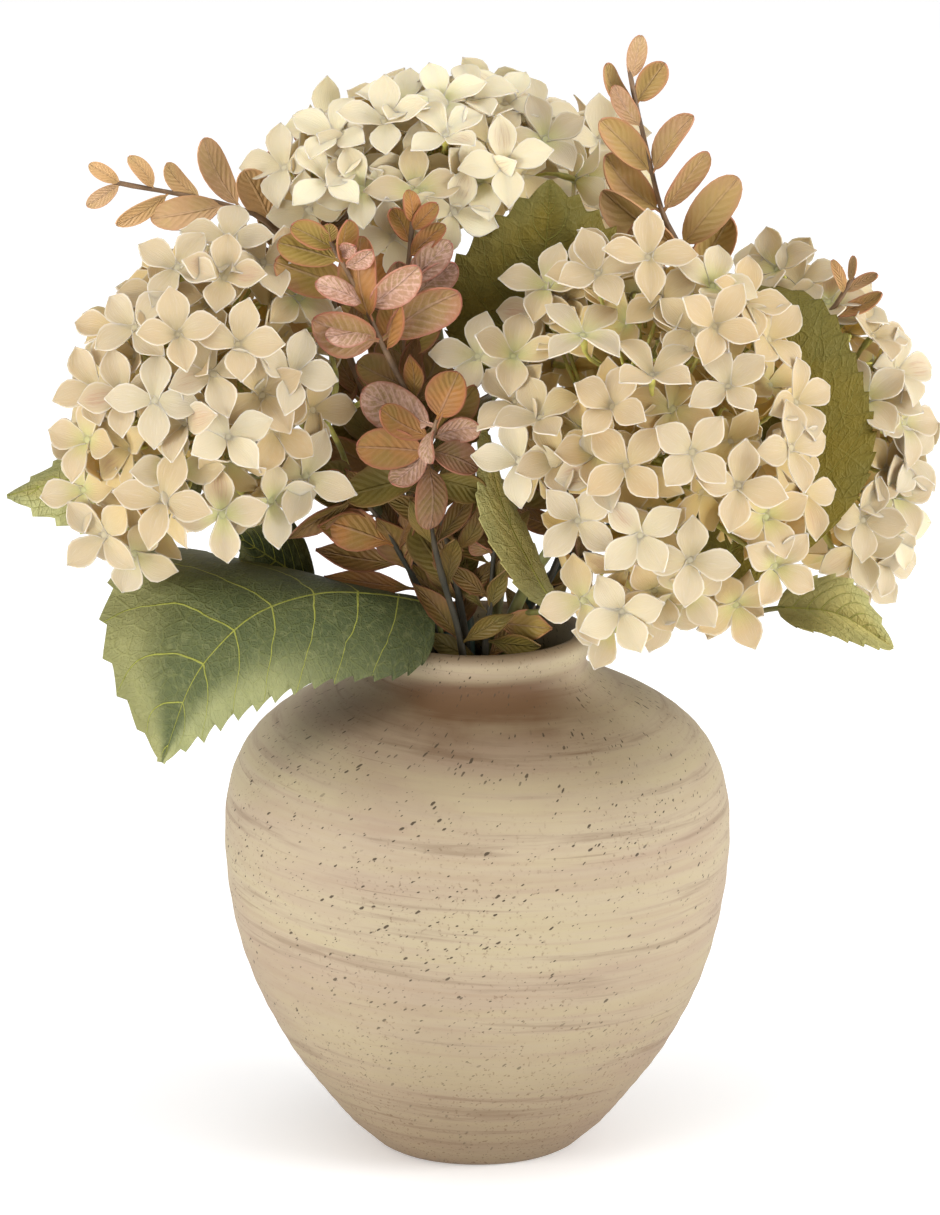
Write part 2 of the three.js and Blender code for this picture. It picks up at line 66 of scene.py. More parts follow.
# Its size and focal length in pixels, the sensor that Blender's lens is given for, and where its
# camera stands and looks.
FRAME_SIZE = (940, 1215)
FOCAL_PIXELS = 9210
SENSOR = 36.0
CAMERA_PLACE = np.array([-2.85, -3372.7, 1146.2])
CAMERA_TARGET = np.array([-2.85, 0.0, 210.9])
TOWARDS = (CAMERA_PLACE - CAMERA_TARGET) / np.linalg.norm(CAMERA_PLACE - CAMERA_TARGET)
RIGHT = np.array([1.0, 0.0, 0.0])
UP = np.cross(TOWARDS, RIGHT)

# ------------------------------------------------------------------ tables of the arrangement

# Outside and inside of the vase wall as (radius, height).
VASE_OUTSIDE = [
    (0, 1.4), (28, 1.4), (32, 0), (36.5, 0), (39.2, 1.2), (43.5, 5), (49.6, 10.5), (61.4, 25),
    (71, 38), (78, 50), (84.2, 62.5), (88.9, 75), (92.3, 87.5), (94.8, 101), (96.2, 114), (96.5, 127),
    (95.3, 139), (92, 150), (86.8, 159), (80, 165.8), (71.5, 171.8), (62.5, 176.6), (53.5, 180.6),
    (46.8, 184.2), (42.6, 187.6), (41.2, 190.2), (41.3, 192.6), (42.6, 195), (43.3, 197.6),
    (42.9, 200), (41.4, 202), (39.4, 203),
]
VASE_INSIDE = [
    (37.6, 202.2), (36.4, 200), (36, 196), (36.2, 188), (40, 183), (52, 176), (70, 166.5), (82, 156),
    (88, 143), (90.6, 127), (89.4, 105), (83, 75), (70, 47), (52, 24), (36, 9), (30, 7), (0, 7),
]

# Heights at which every stem ends in the foam, leaves the foam and stops standing upright.
STEM_FOOT = 125
FOAM_TOP = 165
STEM_STRAIGHT = 182

# One flower head each: centre, half sizes, lean to the right in degrees, seed, and its stem from
# the foam to the middle of the head, where a point without a height stands in the foam. tint
# makes its florets more peach, or below 0 whiter, where the whiter heads are partly a painted
# light. deep_shade is how much painted golden shade they get inside the head, gap scales the
# room between them, and open_out turns those at the sides further out.
HEADS = {
    "right": {
        "centre": (69, -48, 288), "half": (67, 58, 90), "lean": -3, "seed": 11,
        "stem": [(9, -10), (12, -14, 208), (27, -24, 240), (48, -38, 268), (64, -46, 283)],
    },
    "left": {
        "centre": (-104, -38, 302), "half": (55, 52, 75), "lean": 9, "seed": 23,
        "tint": -0.1, "deep_shade": 0.9,
        "stem": [(-10, 2), (-14, 0, 208), (-32, -4, 244), (-62, -16, 274), (-94, -34, 296)],
    },
    "top": {
        "centre": (-22, 30, 370), "half": (62, 54, 43), "lean": 0, "seed": 37,
        "tint": -0.95, "deep_shade": 0.8, "gap": 0.84,
        "stem": [(-3, 8), (-4, 10, 210), (-8, 16, 262), (-16, 24, 320), (-20, 28, 358)],
    },
    "far_right": {
        "centre": (123, 45, 269), "half": (50, 49, 77), "lean": -3, "seed": 41,
        "tint": -0.35, "deep_shade": 1.05, "open_out": 1.15,
        "stem": [(13, 4), (18, 6, 208), (44, 17, 233), (82, 33, 252), (114, 43, 267)],
    },
    "back": {
        "centre": (33, 78, 335), "half": (33, 44, 53), "lean": 0, "seed": 53,
        "tint": -0.5, "deep_shade": 0.6, "open_out": 1.1,
        "stem": [(6, 16), (8, 20, 210), (17, 38, 260), (27, 63, 312), (32, 76, 328)],
    },
}

# Florets that the photograph shows, for each head: pixel x, pixel y, turn of one petal in
# degrees, tilt of the floret to the right and upwards (sines), depth from the head's outline
# (1 is on it), and petal length.
FLORETS = {
    "right": [
        (459, 348, 80, -0.25, 0.2, 1.16, 18.5), (598, 274, 20, 0.05, 0.5, 1, 18),
        (583, 336, 45, 0, 0.78, 1, 19), (652, 376, 45, 0.05, 0.72, 1, 19.5),
        (513, 357, 84, 0.1, 0.45, 1, 19), (547, 287, 75, -0.2, 0.5, 0.97, 18),
        (510, 284, 168, -0.55, 0.3, 0.93, 17), (540, 264, 100, -0.3, 0.5, 0.86, 18),
        (579, 252, 100, -0.1, 0.55, 0.84, 18), (648, 258, 92, 0.1, 0.4, 1, 19),
        (694, 331, 140, 0.1, 0.3, 0.9, 17), (714, 327, 68, 0.2, 0.3, 1, 19),
        (728, 387, 38, 0.1, 0.35, 1, 18.5), (790, 448, 15, 0.62, 0.05, 0.98, 18),
        (795, 402, 28, 0.6, 0.25, 0.92, 18), (768, 340, 60, 0.6, 0.4, 0.9, 17.5),
        (692, 452, 45, 0.1, 0.08, 1, 17.5), (738, 486, 80, 0.15, 0.05, 1, 19),
        (690, 560, 84, 0.1, -0.15, 0.96, 18.5), (686, 590, 40, 0, -0.5, 0.88, 18),
        (735, 604, 24, 0.2, -0.5, 0.9, 18), (774, 566, 58, 0.4, -0.1, 1, 18.5),
        (612, 407, 58, -0.1, 0.3, 1, 17.5), (626, 466, 45, -0.05, 0.1, 1, 19),
        (520, 461, 268, -0.35, 0.1, 0.98, 18.5), (578, 520, 45, -0.1, -0.12, 0.98, 19),
        (640, 535, 40, 0, -0.05, 1, 18), (584, 600, 15, -0.3, -0.1, 0.95, 18.5),
        (622, 611, 25, 0, -0.25, 1, 17.5), (606, 647, 262, -0.05, -0.45, 0.9, 17),
        (602, 470, 195, -0.2, 0.1, 0.86, 19), (540, 418, 20, -0.2, 0.62, 0.95, 18),
        (516, 402, 35, -0.35, 0.45, 0.96, 18), (600, 452, 180, -0.2, 0.2, 0.84, 18),
        (765, 517, 200, 0.35, 0, 0.88, 18), (672, 410, 255, 0, 0.25, 0.82, 18),
        (744, 303, 8, 0.5, 0.5, 0.92, 18), (712, 287, 82, 0.3, 0.55, 0.9, 18),
        (826, 502, 10, 0.7, 0, 0.86, 18), (660, 300, 30, 0, 0.4, 0.84, 18),
        (560, 460, 20, -0.3, 0.2, 0.85, 18), (655, 590, 20, 0, -0.5, 0.86, 17),
    ],
    "left": [
        (178, 268, 65, -0.1, 0.5, 0.98, 18), (178, 335, 97, -0.05, 0.3, 1, 18),
        (135, 328, 215, -0.4, 0.3, 0.97, 17.5), (238, 345, 85, 0.1, 0.3, 1, 18.5),
        (292, 374, 170, 0.3, 0.25, 0.98, 18), (298, 298, 50, 0.3, 0.3, 0.95, 18),
        (305, 476, 71, 0.05, -0.05, 1, 20), (228, 437, 35, 0.05, 0.15, 1, 18.5),
        (222, 514, 275, 0, -0.25, 1, 19), (271, 500, 278, 0.3, -0.3, 0.92, 18),
        (164, 500, 165, -0.2, 0.1, 1, 20), (105, 535, 225, -0.4, -0.2, 0.97, 18),
        (132, 557, 250, -0.1, -0.55, 0.93, 17.5), (155, 400, 265, -0.1, 0.1, 1, 19),
        (186, 424, 100, -0.6, 0.1, 0.95, 18), (84, 490, 190, -0.6, 0, 0.93, 17.5),
        (88, 440, 160, -0.65, 0.1, 0.92, 17), (98, 388, 200, -0.5, 0.2, 0.95, 18),
        (116, 330, 160, -0.5, 0.4, 0.9, 17), (224, 278, 265, 0, 0.4, 0.94, 17.5),
        (160, 298, 170, -0.2, 0.4, 0.9, 17.5), (228, 240, 80, 0, 0.6, 0.96, 18),
        (263, 263, 300, 0.2, 0.45, 0.95, 18), (213, 374, 22, 0, 0.2, 0.95, 18.5),
        (176, 470, 180, 0, 0, 0.84, 18), (300, 252, 100, 0.3, 0.5, 0.9, 18),
        (262, 395, 30, 0.1, 0.1, 0.9, 18.5), (125, 395, 190, -0.3, 0.1, 0.96, 18),
        (275, 430, 240, 0.3, 0, 0.88, 18), (312, 410, 270, 0.5, 0, 0.9, 17),
    ],
    "top": [
        (328, 181, 42, 0, 0.6, 1, 18.5), (285, 168, 172, -0.4, 0.4, 0.96, 18),
        (416, 192, 100, 0, 0.25, 0.86, 19.5), (446, 136, 42, 0, 0.66, 1, 19),
        (505, 165, 97, 0.05, 0.3, 1, 19.5), (440, 104, 110, 0, 0.7, 0.97, 19),
        (385, 122, 92, -0.1, 0.62, 0.98, 19), (335, 135, 150, -0.3, 0.55, 0.97, 18),
        (540, 112, 98, 0.2, 0.68, 0.97, 19), (568, 118, 60, 0.5, 0.5, 0.9, 18),
        (470, 100, 105, 0.1, 0.75, 0.95, 19), (545, 140, 22, 0.25, 0.45, 0.97, 18.5),
        (454, 212, 72, 0, -0.1, 0.9, 18.5), (394, 236, 190, -0.1, -0.2, 0.9, 19),
        (362, 190, 20, -0.1, 0.2, 0.9, 18.5), (505, 105, 60, 0.1, 0.7, 0.93, 18),
        (355, 160, 60, 0, 0.5, 0.86, 17.5), (480, 180, 20, 0, 0, 0.85, 18),
        (405, 105, 80, 0, 0.7, 0.94, 18.5), (309, 210, 100, -0.3, -0.3, 0.9, 17),
    ],
    "far_right": [
        (778, 270, 92, -0.4, 0.5, 0.92, 18.5), (745, 266, 96, -0.6, 0.4, 0.9, 18),
        (828, 303, 92, 0, 0.6, 0.93, 16), (872, 337, 20, 0.5, 0.5, 0.95, 17),
        (896, 373, 18, 0.6, 0.35, 0.96, 17.5), (903, 424, 22, 0.65, 0.2, 0.96, 17.5),
        (905, 458, 315, 0.7, 0, 0.95, 17), (893, 495, 20, 0.55, 0, 0.96, 17.5),
        (894, 525, 2, 0.6, -0.2, 0.93, 17.5), (886, 560, 330, 0.5, -0.3, 0.96, 17.5),
        (874, 588, 305, 0.4, -0.5, 0.95, 17), (862, 520, 170, 0.3, 0, 0.96, 18),
        (880, 400, 80, 0.4, 0.3, 0.86, 17), (885, 470, 60, 0.5, 0.1, 0.86, 17),
        (850, 312, 60, 0.3, 0.6, 0.86, 17), (856, 548, 200, 0.1, -0.1, 0.9, 18),
        (800, 285, 20, -0.1, 0.6, 0.9, 18), (866, 400, 30, 0.1, 0.2, 0.93, 18),
    ],
    "back": [
        (612, 122, 92, 0.3, 0.5, 0.95, 18), (604, 208, 250, 0.3, 0.1, 0.95, 18),
        (586, 179, 20, -0.1, 0.35, 1, 18), (598, 142, 95, 0.2, 0.4, 0.97, 18),
        (620, 170, 330, 0.5, 0.2, 0.9, 17),
    ],
}

# Where the middles of a head's florets may lie in the photograph, as pixels round its outline.
OUTLINES = {
    "right": [
        (510, 284), (540, 262), (579, 250), (648, 256), (712, 285), (746, 300), (768, 338), (790, 400),
        (802, 450), (826, 502), (776, 566), (736, 604), (690, 592), (608, 647), (584, 602), (572, 520),
        (520, 462), (505, 410), (508, 357),
    ],
    "left": [
        (178, 262), (228, 240), (268, 258), (300, 250), (322, 290), (330, 350), (315, 412), (308, 476),
        (272, 502), (222, 516), (180, 520), (134, 556), (104, 537), (82, 492), (86, 440), (96, 388),
        (112, 330), (140, 290),
    ],
    "top": [
        (285, 168), (300, 140), (345, 112), (400, 96), (470, 92), (530, 98), (575, 112), (592, 150),
        (590, 180), (545, 178), (505, 180), (470, 212), (430, 232), (392, 240), (340, 222), (305, 205),
    ],
    "far_right": [
        (715, 262), (745, 254), (790, 262), (832, 296), (872, 335), (900, 372), (908, 424), (912, 458),
        (902, 525), (892, 562), (876, 592), (845, 575), (800, 540), (720, 450), (700, 350),
    ],
    "back": [(575, 118), (612, 115), (622, 165), (610, 208), (580, 215), (560, 170)],
}

# Places where the photograph shows a leaf or a gap between florets, each with how far back from
# the front (along +Y) the first florets may lie there.
CLEARINGS = [
    (40, [(743, 276), (804, 278), (856, 312), (884, 375), (892, 451), (880, 490), (862, 520),
          (838, 556), (817, 572), (776, 540), (795, 450), (770, 350)]),
    (10, [(650, 548), (664, 520), (706, 512), (752, 535), (760, 560), (748, 590), (704, 596),
          (660, 588)]),
    (-45, [(556, 372), (580, 356), (598, 364), (600, 404), (574, 420), (546, 410)]),
    (-45, [(612, 505), (640, 498), (650, 512), (628, 520)]),
    (-30, [(336, 400), (372, 396), (372, 470), (340, 450)]),
]

# Branches that the photograph shows bare, for each head, as pixel x, pixel y and the place from
# front to back. The first starts on the head's stem.
SHOWN_BRANCHES = {
    "right": [[(649, 454, -46), (690, 504, -66), (730, 534, -76), (771, 562, -78)]],
    "left": [
        [(352, 486, -9), (342, 452, -12), (327, 422, -16)],
        [(327, 422, -16), (345, 412, -17), (374, 395, -20)],
        [(327, 422, -16), (336, 385, -20), (328, 345, -34), (305, 303, -52)],
        [(327, 422, -16), (308, 428, -22), (294, 405, -45), (291, 378, -68)],
    ],
    "far_right": [[(775, 436, 43), (815, 520, 30), (842, 560, 30), (873, 587, 39)]],
}

# Side veins on each half of a large leaf.
LEAF_VEINS = 8.4

# Large leaves. from is the place along the node's stem where the leaf's stalk starts. rib runs
# along the midrib; left and right give the directions in which each half of the blade spreads,
# from base to tip; half is their greatest width. A smaller number in fullness fills out the half
# of the blade at its base, or the one at its tip. teeth are counted along one edge, and tooth
# scales their depth. sweep is how far the side veins slant, and tone is how olive and how light
# the leaf is.
LEAVES = {
    "right_low": {
        "node": "stem_right", "from": 0.49,
        "rib": [(29, -38, 221), (20, -44, 238), (8, -48, 266), (1, -46, 299)],
        "left": [(-0.6, -0.75, -0.1), (-0.55, -0.8, 0.1)],
        "right": [(0.4, 0.9, 0.1), (0.3, 0.95, 0.1)],
        "half": (14, 10), "teeth": 9, "stalk": [(23, -28, 217), (29, -38, 222)], "tone": (0.3, 1),
    },
    "left_outer": {
        "node": "stem_left", "from": 0.71,
        "rib": [(-104, 2, 262), (-126, 1, 264), (-152, -2, 262), (-178, -5, 256)],
        "left": [(0.1, -0.3, -0.94), (0.2, -0.3, -0.93)],
        "right": [(0, 0.92, 0.35), (0.1, 0.9, 0.35)],
        "half": (25, 22), "teeth": 9, "stalk": [(-76, -3, 263), (-106, 2, 262)], "tone": (0, 0.7),
    },
    "left_inner": {
        "node": "stem_left", "from": 0.42,
        "rib": [(-62, 6, 217), (-76, 3, 228), (-94, 0, 241)],
        "left": [(-0.2, -0.2, -0.95), (-0.3, -0.2, -0.9)],
        "right": [(0.1, 0.3, 0.95), (-0.1, 0.3, 0.95)],
        "half": (12, 19), "teeth": 6, "stalk": [(-38, 5, 215), (-63, 6, 217.5)], "tone": (0.15, 0),
    },
    "top": {
        "node": "stem_top", "from": 0.58,
        "rib": [(12, 4, 298), (18, -2, 322), (25, -9, 352), (27, -16, 381)],
        "left": [(-0.95, -0.15, 0.2), (-0.93, -0.2, 0.1)],
        "right": [(0.93, 0.15, 0.25), (0.93, 0.2, 0.1)],
        "half": (34, 33), "teeth": 10, "stalk": [(-1, 13, 282), (12.5, 4, 299.5)], "tone": (1, 0.1),
    },
    "right_tall": {
        "node": "stem_far_right", "from": 0.6,
        "rib": [(93, -5, 219), (99, 0, 253), (101, 3, 291), (101, 10, 321), (99, 32, 329)],
        "left": [(-0.85, 0.5, 0), (-0.85, 0.5, 0.1)],
        "right": [(0.95, 0, 0.1), (0.95, 0.1, 0.25)],
        "half": (28, 50), "fullness": (0.72, 0.42), "teeth": 17, "tooth": 0.5,
        "stalk": [(66, 8, 227), (93.5, -4.5, 221)], "tone": (1, 0.03),
    },
    "right_outer": {
        "node": "stem_far_right", "from": 0.5,
        "rib": [(114, -5, 212), (136, -14, 212), (157, -22, 201)],
        "left": [(0.1, 0.5, 0.85), (0.25, 0.5, 0.8)],
        "right": [(0, -0.93, -0.2), (0, -0.93, -0.15)],
        "half": (14, 19), "fullness": (0.6, 0.5), "teeth": 7,
        "stalk": [(58, 7, 209), (90, -1, 207), (115, -5.5, 212)], "tone": (0.5, 1),
    },
    "front": {
        "node": "leaf_front", "from": None,
        "rib": [(-17, -24, 219), (-38, -38, 226.5), (-60, -43, 228), (-83, -50, 222), (-98, -56, 210),
                (-107, -60, 198), (-118, -66, 169)],
        "left": [(0.1, -0.5, -0.86), (0.45, -0.42, -0.79), (0.75, -0.3, -0.55)],
        "right": [(0, 0.93, -0.37), (-0.05, 0.93, -0.36), (-0.25, 0.93, -0.05), (-0.7, 0.62, 0.36),
                  (-0.9, 0.35, 0.25), (-0.97, 0.2, 0.12)],
        "half": (34, 65), "fullness": (0.34, 0.72), "teeth": 15, "tooth": 0.85, "sweep": 0.4,
        "stalk": [(-13, -17), (-14, -19, 207), (-18, -25, 220)], "tone": (0, 0.12),
    },
}

# Kinds of small leaves: how olive, how orange, how pale pink (or mossy, below 0) and how much painted
# shade they get.
LEAF_KINDS = {
    "rose": (0.15, 0.12, 0.2, 0.1),
    "pale": (0.15, 0.05, 0.8, 0),
    "orange": (0.45, 0.8, 0, 0.03),
    "olive": (0.95, 0.15, 0, 0.1),
    "dark": (0.7, 0.35, 0, 0.55),
    "moss": (0.9, 0.1, -0.8, 0.32),
}

# Sprigs: the stem from the foam, then each leaf as (place along the stem, tip, width), with its
# kind where the photograph shows it. kinds gives those of the other leaves in turn. full scales
# the widths, and point sharpens the leaves. shade adds a painted shade to those that are neither
# dark nor mossy, and below 0 a painted sunlight.
SPRAYS = {
    "spray_front": {
        "stem": [(-2, -13), (-6, -19, 215), (-15, -34, 262), (-25, -48, 304), (-33, -54, 322),
                 (-43, -57, 345), (-51, -58, 361), (-57, -57, 371)],
        "leaves": [
            (0.82, -61, -63, 339, 16, "rose"), (0.82, -7, -62, 349, 16, "rose"),
            (0.84, -56, -68, 333, 7, "pale"), (0.87, -22, -66, 360, 8, "pale"),
            (0.85, -43, -52, 368, 13, "orange"), (0.94, -48, -60, 376, 9, "orange"),
            (0.98, -55, -58, 374, 6, "olive"), (0.97, -69, -58, 373, 9, "olive"),
            (0.95, -74, -59, 367, 8, "olive"), (0.9, -75, -60, 360, 13, "olive"),
            (0.88, -60, -66, 353, 8, "pale"), (0.96, -45, -64, 367, 6, "pale"),
            (0.94, -39, -66, 366, 6, "pale"), (0.8, -30, -56, 345, 12, "orange"),
            (0.74, -45, -50, 319, 12, "dark"), (0.39, -24, -26, 250, 10, "moss"),
        ],
        "kinds": ("rose",),
    },
    "spray_middle": {
        "stem": [(-4, -6), (-7, -12, 215), (-16, -24, 262), (-26, -34, 305), (-27, -30, 338),
                 (-25, -26, 360), (-24, -24, 371)],
        "leaves": [
            (0.98, -26, -24, 379, 7, "orange"), (0.95, -32, -24, 372, 7, "orange"),
            (0.97, -15, -25, 374, 5, "orange"), (0.93, -12, -26, 366, 5, "orange"),
            (0.89, -10, -28, 360, 10, "pale"), (0.86, -8, -30, 352, 8, "pale"),
            (0.84, -30, -30, 353, 9, "rose"), (0.78, -17, -30, 338, 9, "olive"),
            (0.38, -4, -20, 241, 9, "moss"), (0.72, -14, -10, 318, 14, "dark"),
            (0.66, 5, -12, 296, 15, "moss"), (0.68, -34, -8, 318, 13, "dark"),
            (0.6, -4, -10, 283, 10, "dark"),
        ],
        "kinds": ("orange",),
    },
    "spray_centre": {
        "stem": [(-4, -22), (-7, -28, 208), (-14, -38, 236), (-19, -50, 266), (-18, -63, 289),
                 (-15, -64, 301)],
        "leaves": [
            (0.985, -43, -62, 311, 16, "pale"), (0.96, -36, -68, 306, 10, "orange"),
            (1, -7, -64, 319, 14, "orange"), (0.98, -17, -72, 286, 8, "pale"),
            (0.96, 1, -68, 299, 9, "pale"), (0.93, -45, -66, 291, 14, "orange"),
            (0.94, -32, -73, 279, 9, "pale"), (0.93, 0, -64, 282, 12, "rose"),
            (0.9, -18, -64, 259, 14, "rose"), (0.86, -49, -50, 268, 13, "moss"),
            (0.86, 3, -52, 270, 9, "moss"), (0.97, -1, -60, 313, 11, "olive"),
        ],
        "kinds": ("rose",), "shade": 0.3,
    },
    "spray_right_top": {
        "stem": [(18, -4), (23, -2, 210), (46, 9, 262), (72, 15, 312), (80, 13, 338), (70, 12, 361),
                 (63.5, 10, 387), (58.5, 8, 409), (56.5, 8, 420)],
        "leaves": [
            (0.42, 9, -6, 262, 13, "moss"), (0.38, 15, -6, 250, 12, "dark"),
            (0.44, 14, -8, 272, 12, "dark"), (0.86, 46, 6, 399, 13), (0.86, 81, 4, 401, 12),
            (0.81, 48, 8, 385, 11), (0.81, 86, 6, 387, 11), (0.76, 47, 6, 372, 13),
            (0.76, 98, 6, 377, 13), (0.7, 60, 2, 361, 12), (0.7, 95, 10, 361, 10),
            (0.95, 70, 6, 421, 11, "olive"), (0.98, 61, 8, 431, 8, "rose"),
            (0.94, 48, 8, 420, 6), (0.92, 51, 7, 412, 6),
        ],
        "kinds": ("olive", "rose", "olive", "olive", "rose"), "full": 0.84, "shade": -0.5,
    },
    "spray_left": {
        "stem": [(-12, 9), (-16, 12, 210), (-36, 17, 270), (-60, 18, 330), (-80, 15, 358),
                 (-94, 11, 365), (-112, 8, 370), (-131, 6, 374), (-140, 6, 376)],
        "leaves": [
            (0.45, -57, 8, 275, 14, "dark"), (0.43, -48, 11, 249, 12, "dark"),
            (0.42, -60, 12, 255, 13, "dark"), (0.47, -64, 11, 264, 11, "moss"),
            (0.5, -55, 15, 279, 12, "moss"), (0.5, -23, 15, 273, 12, "moss"),
            (0.56, -57, 15, 289, 11, "dark"), (0.55, -34, 15, 302, 12, "dark"),
            (0.83, -103, 10, 391, 8), (0.78, -88, 9, 379, 14), (0.88, -117, 7, 382, 7),
            (0.85, -123, 5, 361, 9), (0.92, -136, 5, 359, 5), (0.94, -131, 6, 385, 5),
            (0.98, -147, 6, 366, 5), (0.98, -146, 6, 382, 5),
        ],
        "kinds": ("orange", "orange", "rose"), "full": 0.88, "shade": -0.85,
    },
    "spray_low_left": {
        "stem": [(-14, -9), (-18, -12, 212), (-28, -16, 234), (-37, -20, 251), (-47, -24, 264)],
        "leaves": [
            (0.8, -61, -24, 252, 12, "orange"), (0.74, -61, -20, 239, 7.5, "dark"),
            (0.66, -58, -18, 228, 6, "orange"), (0.7, -38, -22, 252, 10, "dark"),
            (0.75, -28, -20, 255, 4.5, "rose"), (0.97, -72, -30, 246, 6, "dark"),
            (0.93, -49, -28, 272, 10, "dark"), (0.85, -60, -30, 251, 8, "dark"),
            (0.98, -62, -32, 270, 9, "dark"), (0.95, -37, -30, 276, 10, "moss"),
            (0.98, -60, -18, 271, 12, "moss"), (0.99, -53, -16, 267, 10, "dark"),
            (0.9, -57, -22, 252, 10, "dark"), (0.97, -63, -26, 262, 9, "moss"),
        ],
        "kinds": ("dark",), "point": 0.85,
    },
    "spray_far_right": {
        "stem": [(19, 1), (25, 4, 210), (48, 7, 238), (68, 17, 258), (97, 22, 288), (120, 16, 310),
                 (135, 18, 324), (142, 17, 336)],
        "leaves": [
            (0.97, 134, 15, 343, 6), (0.97, 151, 13, 338, 6), (0.93, 153, 15, 330, 6),
            (0.99, 142, 13, 345, 5),
        ],
        "kinds": ("orange", "rose"), "full": 0.6, "shade": -0.5,
    },
    "spray_back_left": {
        "stem": [(-7, 17), (-12, 24, 210), (-24, 48, 270), (-44, 70, 325), (-58, 82, 352),
                 (-66, 84, 371)],
        "leaves": [
            (0.98, -70, 84, 382, 6), (0.98, -61, 84, 383, 6), (0.92, -80, 88, 369, 12),
            (0.88, -48, 94, 365, 12), (0.82, -70, 90, 346, 14), (0.76, -38, 90, 340, 14),
            (0.68, -56, 82, 322, 13),
        ],
        "kinds": ("rose", "olive", "orange"),
    },
    "spray_low_right": {
        "stem": [(3, -20), (3, -22, 202), (5, -24, 220), (6, -26, 238), (8, -27, 252)],
        "leaves": [
            (0.86, 4, -27, 250, 6, "dark"), (0.8, 15, -28, 238, 6, "moss"),
            (0.75, -13, -30, 236, 4.5, "dark"), (0.68, 28, -30, 211, 8, "olive"),
            (0.62, 24, -26, 203, 7, "moss"), (0.9, -3, -30, 246, 8, "rose"),
            (0.98, 11, -30, 261, 9, "dark"),
        ],
        "kinds": ("olive",), "point": 0.85,
    },
}

# Plainer pairs of small leaves lower on each sprig: where they begin and end along the stem,
# how many pairs, and the length of a leaf. Each pair is turned on from the last, in radians, and
# its leaves are this wide as a share of their length and this pointed.
LOWER_TURN, LOWER_WIDTH, LOWER_POINT = 1.9, 0.33, 0.8
LOWER_PAIRS = {
    "spray_front": (0.36, 0.7, 5, 26),
    "spray_middle": (0.34, 0.78, 7, 26),
    "spray_centre": (0.43, 0.8, 4, 26),
    "spray_right_top": (0.3, 0.68, 5, 27),
    "spray_left": (0.34, 0.72, 7, 30),
    "spray_low_left": (0.52, 0.78, 2, 26),
    "spray_far_right": (0.3, 0.85, 6, 22),
    "spray_back_left": (0.36, 0.7, 6, 32),
    "spray_low_right": (0.55, 0.86, 3, 24),
}

# ------------------------------------------------------------------ settings


def length(name, description, millimetres):
    """A length property with its default given in millimetres."""
    return FloatProperty(
        name=name, description=description, default=millimetres * MM, min=0, unit="LENGTH",
        subtype="DISTANCE", precision=5,
    )


def amount(name, description, default):
    """A number of at least 0."""
    return FloatProperty(name=name, description=description, default=default, min=0)


def colour(name, description, red, green, blue):
    """A colour property with its default given in the 0 to 255 numbers of a screen, which the
    sRGB curve turns into amounts of light."""
    linear = [((c / 255 + 0.055) / 1.055) ** 2.4 for c in (red, green, blue)]
    return FloatVectorProperty(
        name=name, description=description, default=linear, min=0, max=1, subtype="COLOR",
    )


class VaseSettings(bpy.types.PropertyGroup):
    """Sizes and colours of the vase and of the foam in it."""

    clay: colour("Clay", "Main colour of the stoneware", 168, 152, 130)
    warm: colour("Warm Brush", "Pinkish brown brushed into the clay", 150, 126, 107)
    cool: colour("Green Brush", "Yellow-green beige brushed into the clay", 168, 154, 122)
    # Shade is also the brown of the brushed streaks; under the lip and on the rim it is a painted
    # shade.
    shade: colour("Shade", "Brown under the lip and near the foot", 98, 70, 42)
    fleck: colour("Fleck", "Dark olive flecks in the clay", 70, 56, 36)
    fleck_size: length("Fleck Size", "Length of the larger flecks", 2.1)
    foam: colour("Foam", "Colour of the block that holds the stems", 63, 69, 49)
    sides: IntProperty(name="Sides", description="Faces round the vase", default=160, min=24)


class BloomSettings(bpy.types.PropertyGroup):
    """Sizes and colours of the florets and their branches."""

    spacing: length("Spacing", "Least distance between two florets of the outer layer", 24)
    inner_spacing: length("Inner Spacing", "Least distance between florets of the inner layers", 20)
    petal_length: length("Petal Length", "Length of a petal of a floret that isn't traced", 18)
    petal_width: length("Petal Width", "Greatest width of a petal", 12.2)
    petal_thickness: length("Petal Thickness", "Thickness of a petal", 0.5)
    pedicel: length("Pedicel Radius", "Radius of the stalk of a floret", 0.75)
    branch: length("Branch Radius", "Radius of the main branches in a head", 1.5)
    cream: colour("Cream", "Main colour of the petals", 189, 174, 147)
    # Snow whitens the florets of heads whose tint is below 0, partly a painted light.
    snow: colour("Snow", "Near white of the lightest florets", 244, 230, 196)
    peach: colour("Peach", "Warm tint in part of the florets", 186, 155, 108)
    green: colour("Green Blush", "Pale green near the middle of some florets", 188, 188, 120)
    pink: colour("Pink Blush", "Pinkish brown streaks on a few petals", 168, 124, 100)
    # Rim is the pale colour of the petals' veins, and the painted highlight along their edges.
    rim: colour("Rim", "Lighter rim of the petals", 212, 202, 188)
    # Painted golden shade of the petals inside a head.
    deep_shade: colour("Deep Tint", "Golden tan of the petals inside a head", 203, 169, 90)
    stalk: colour("Stalk", "Yellow-green of the branches and pedicels", 172, 166, 82)


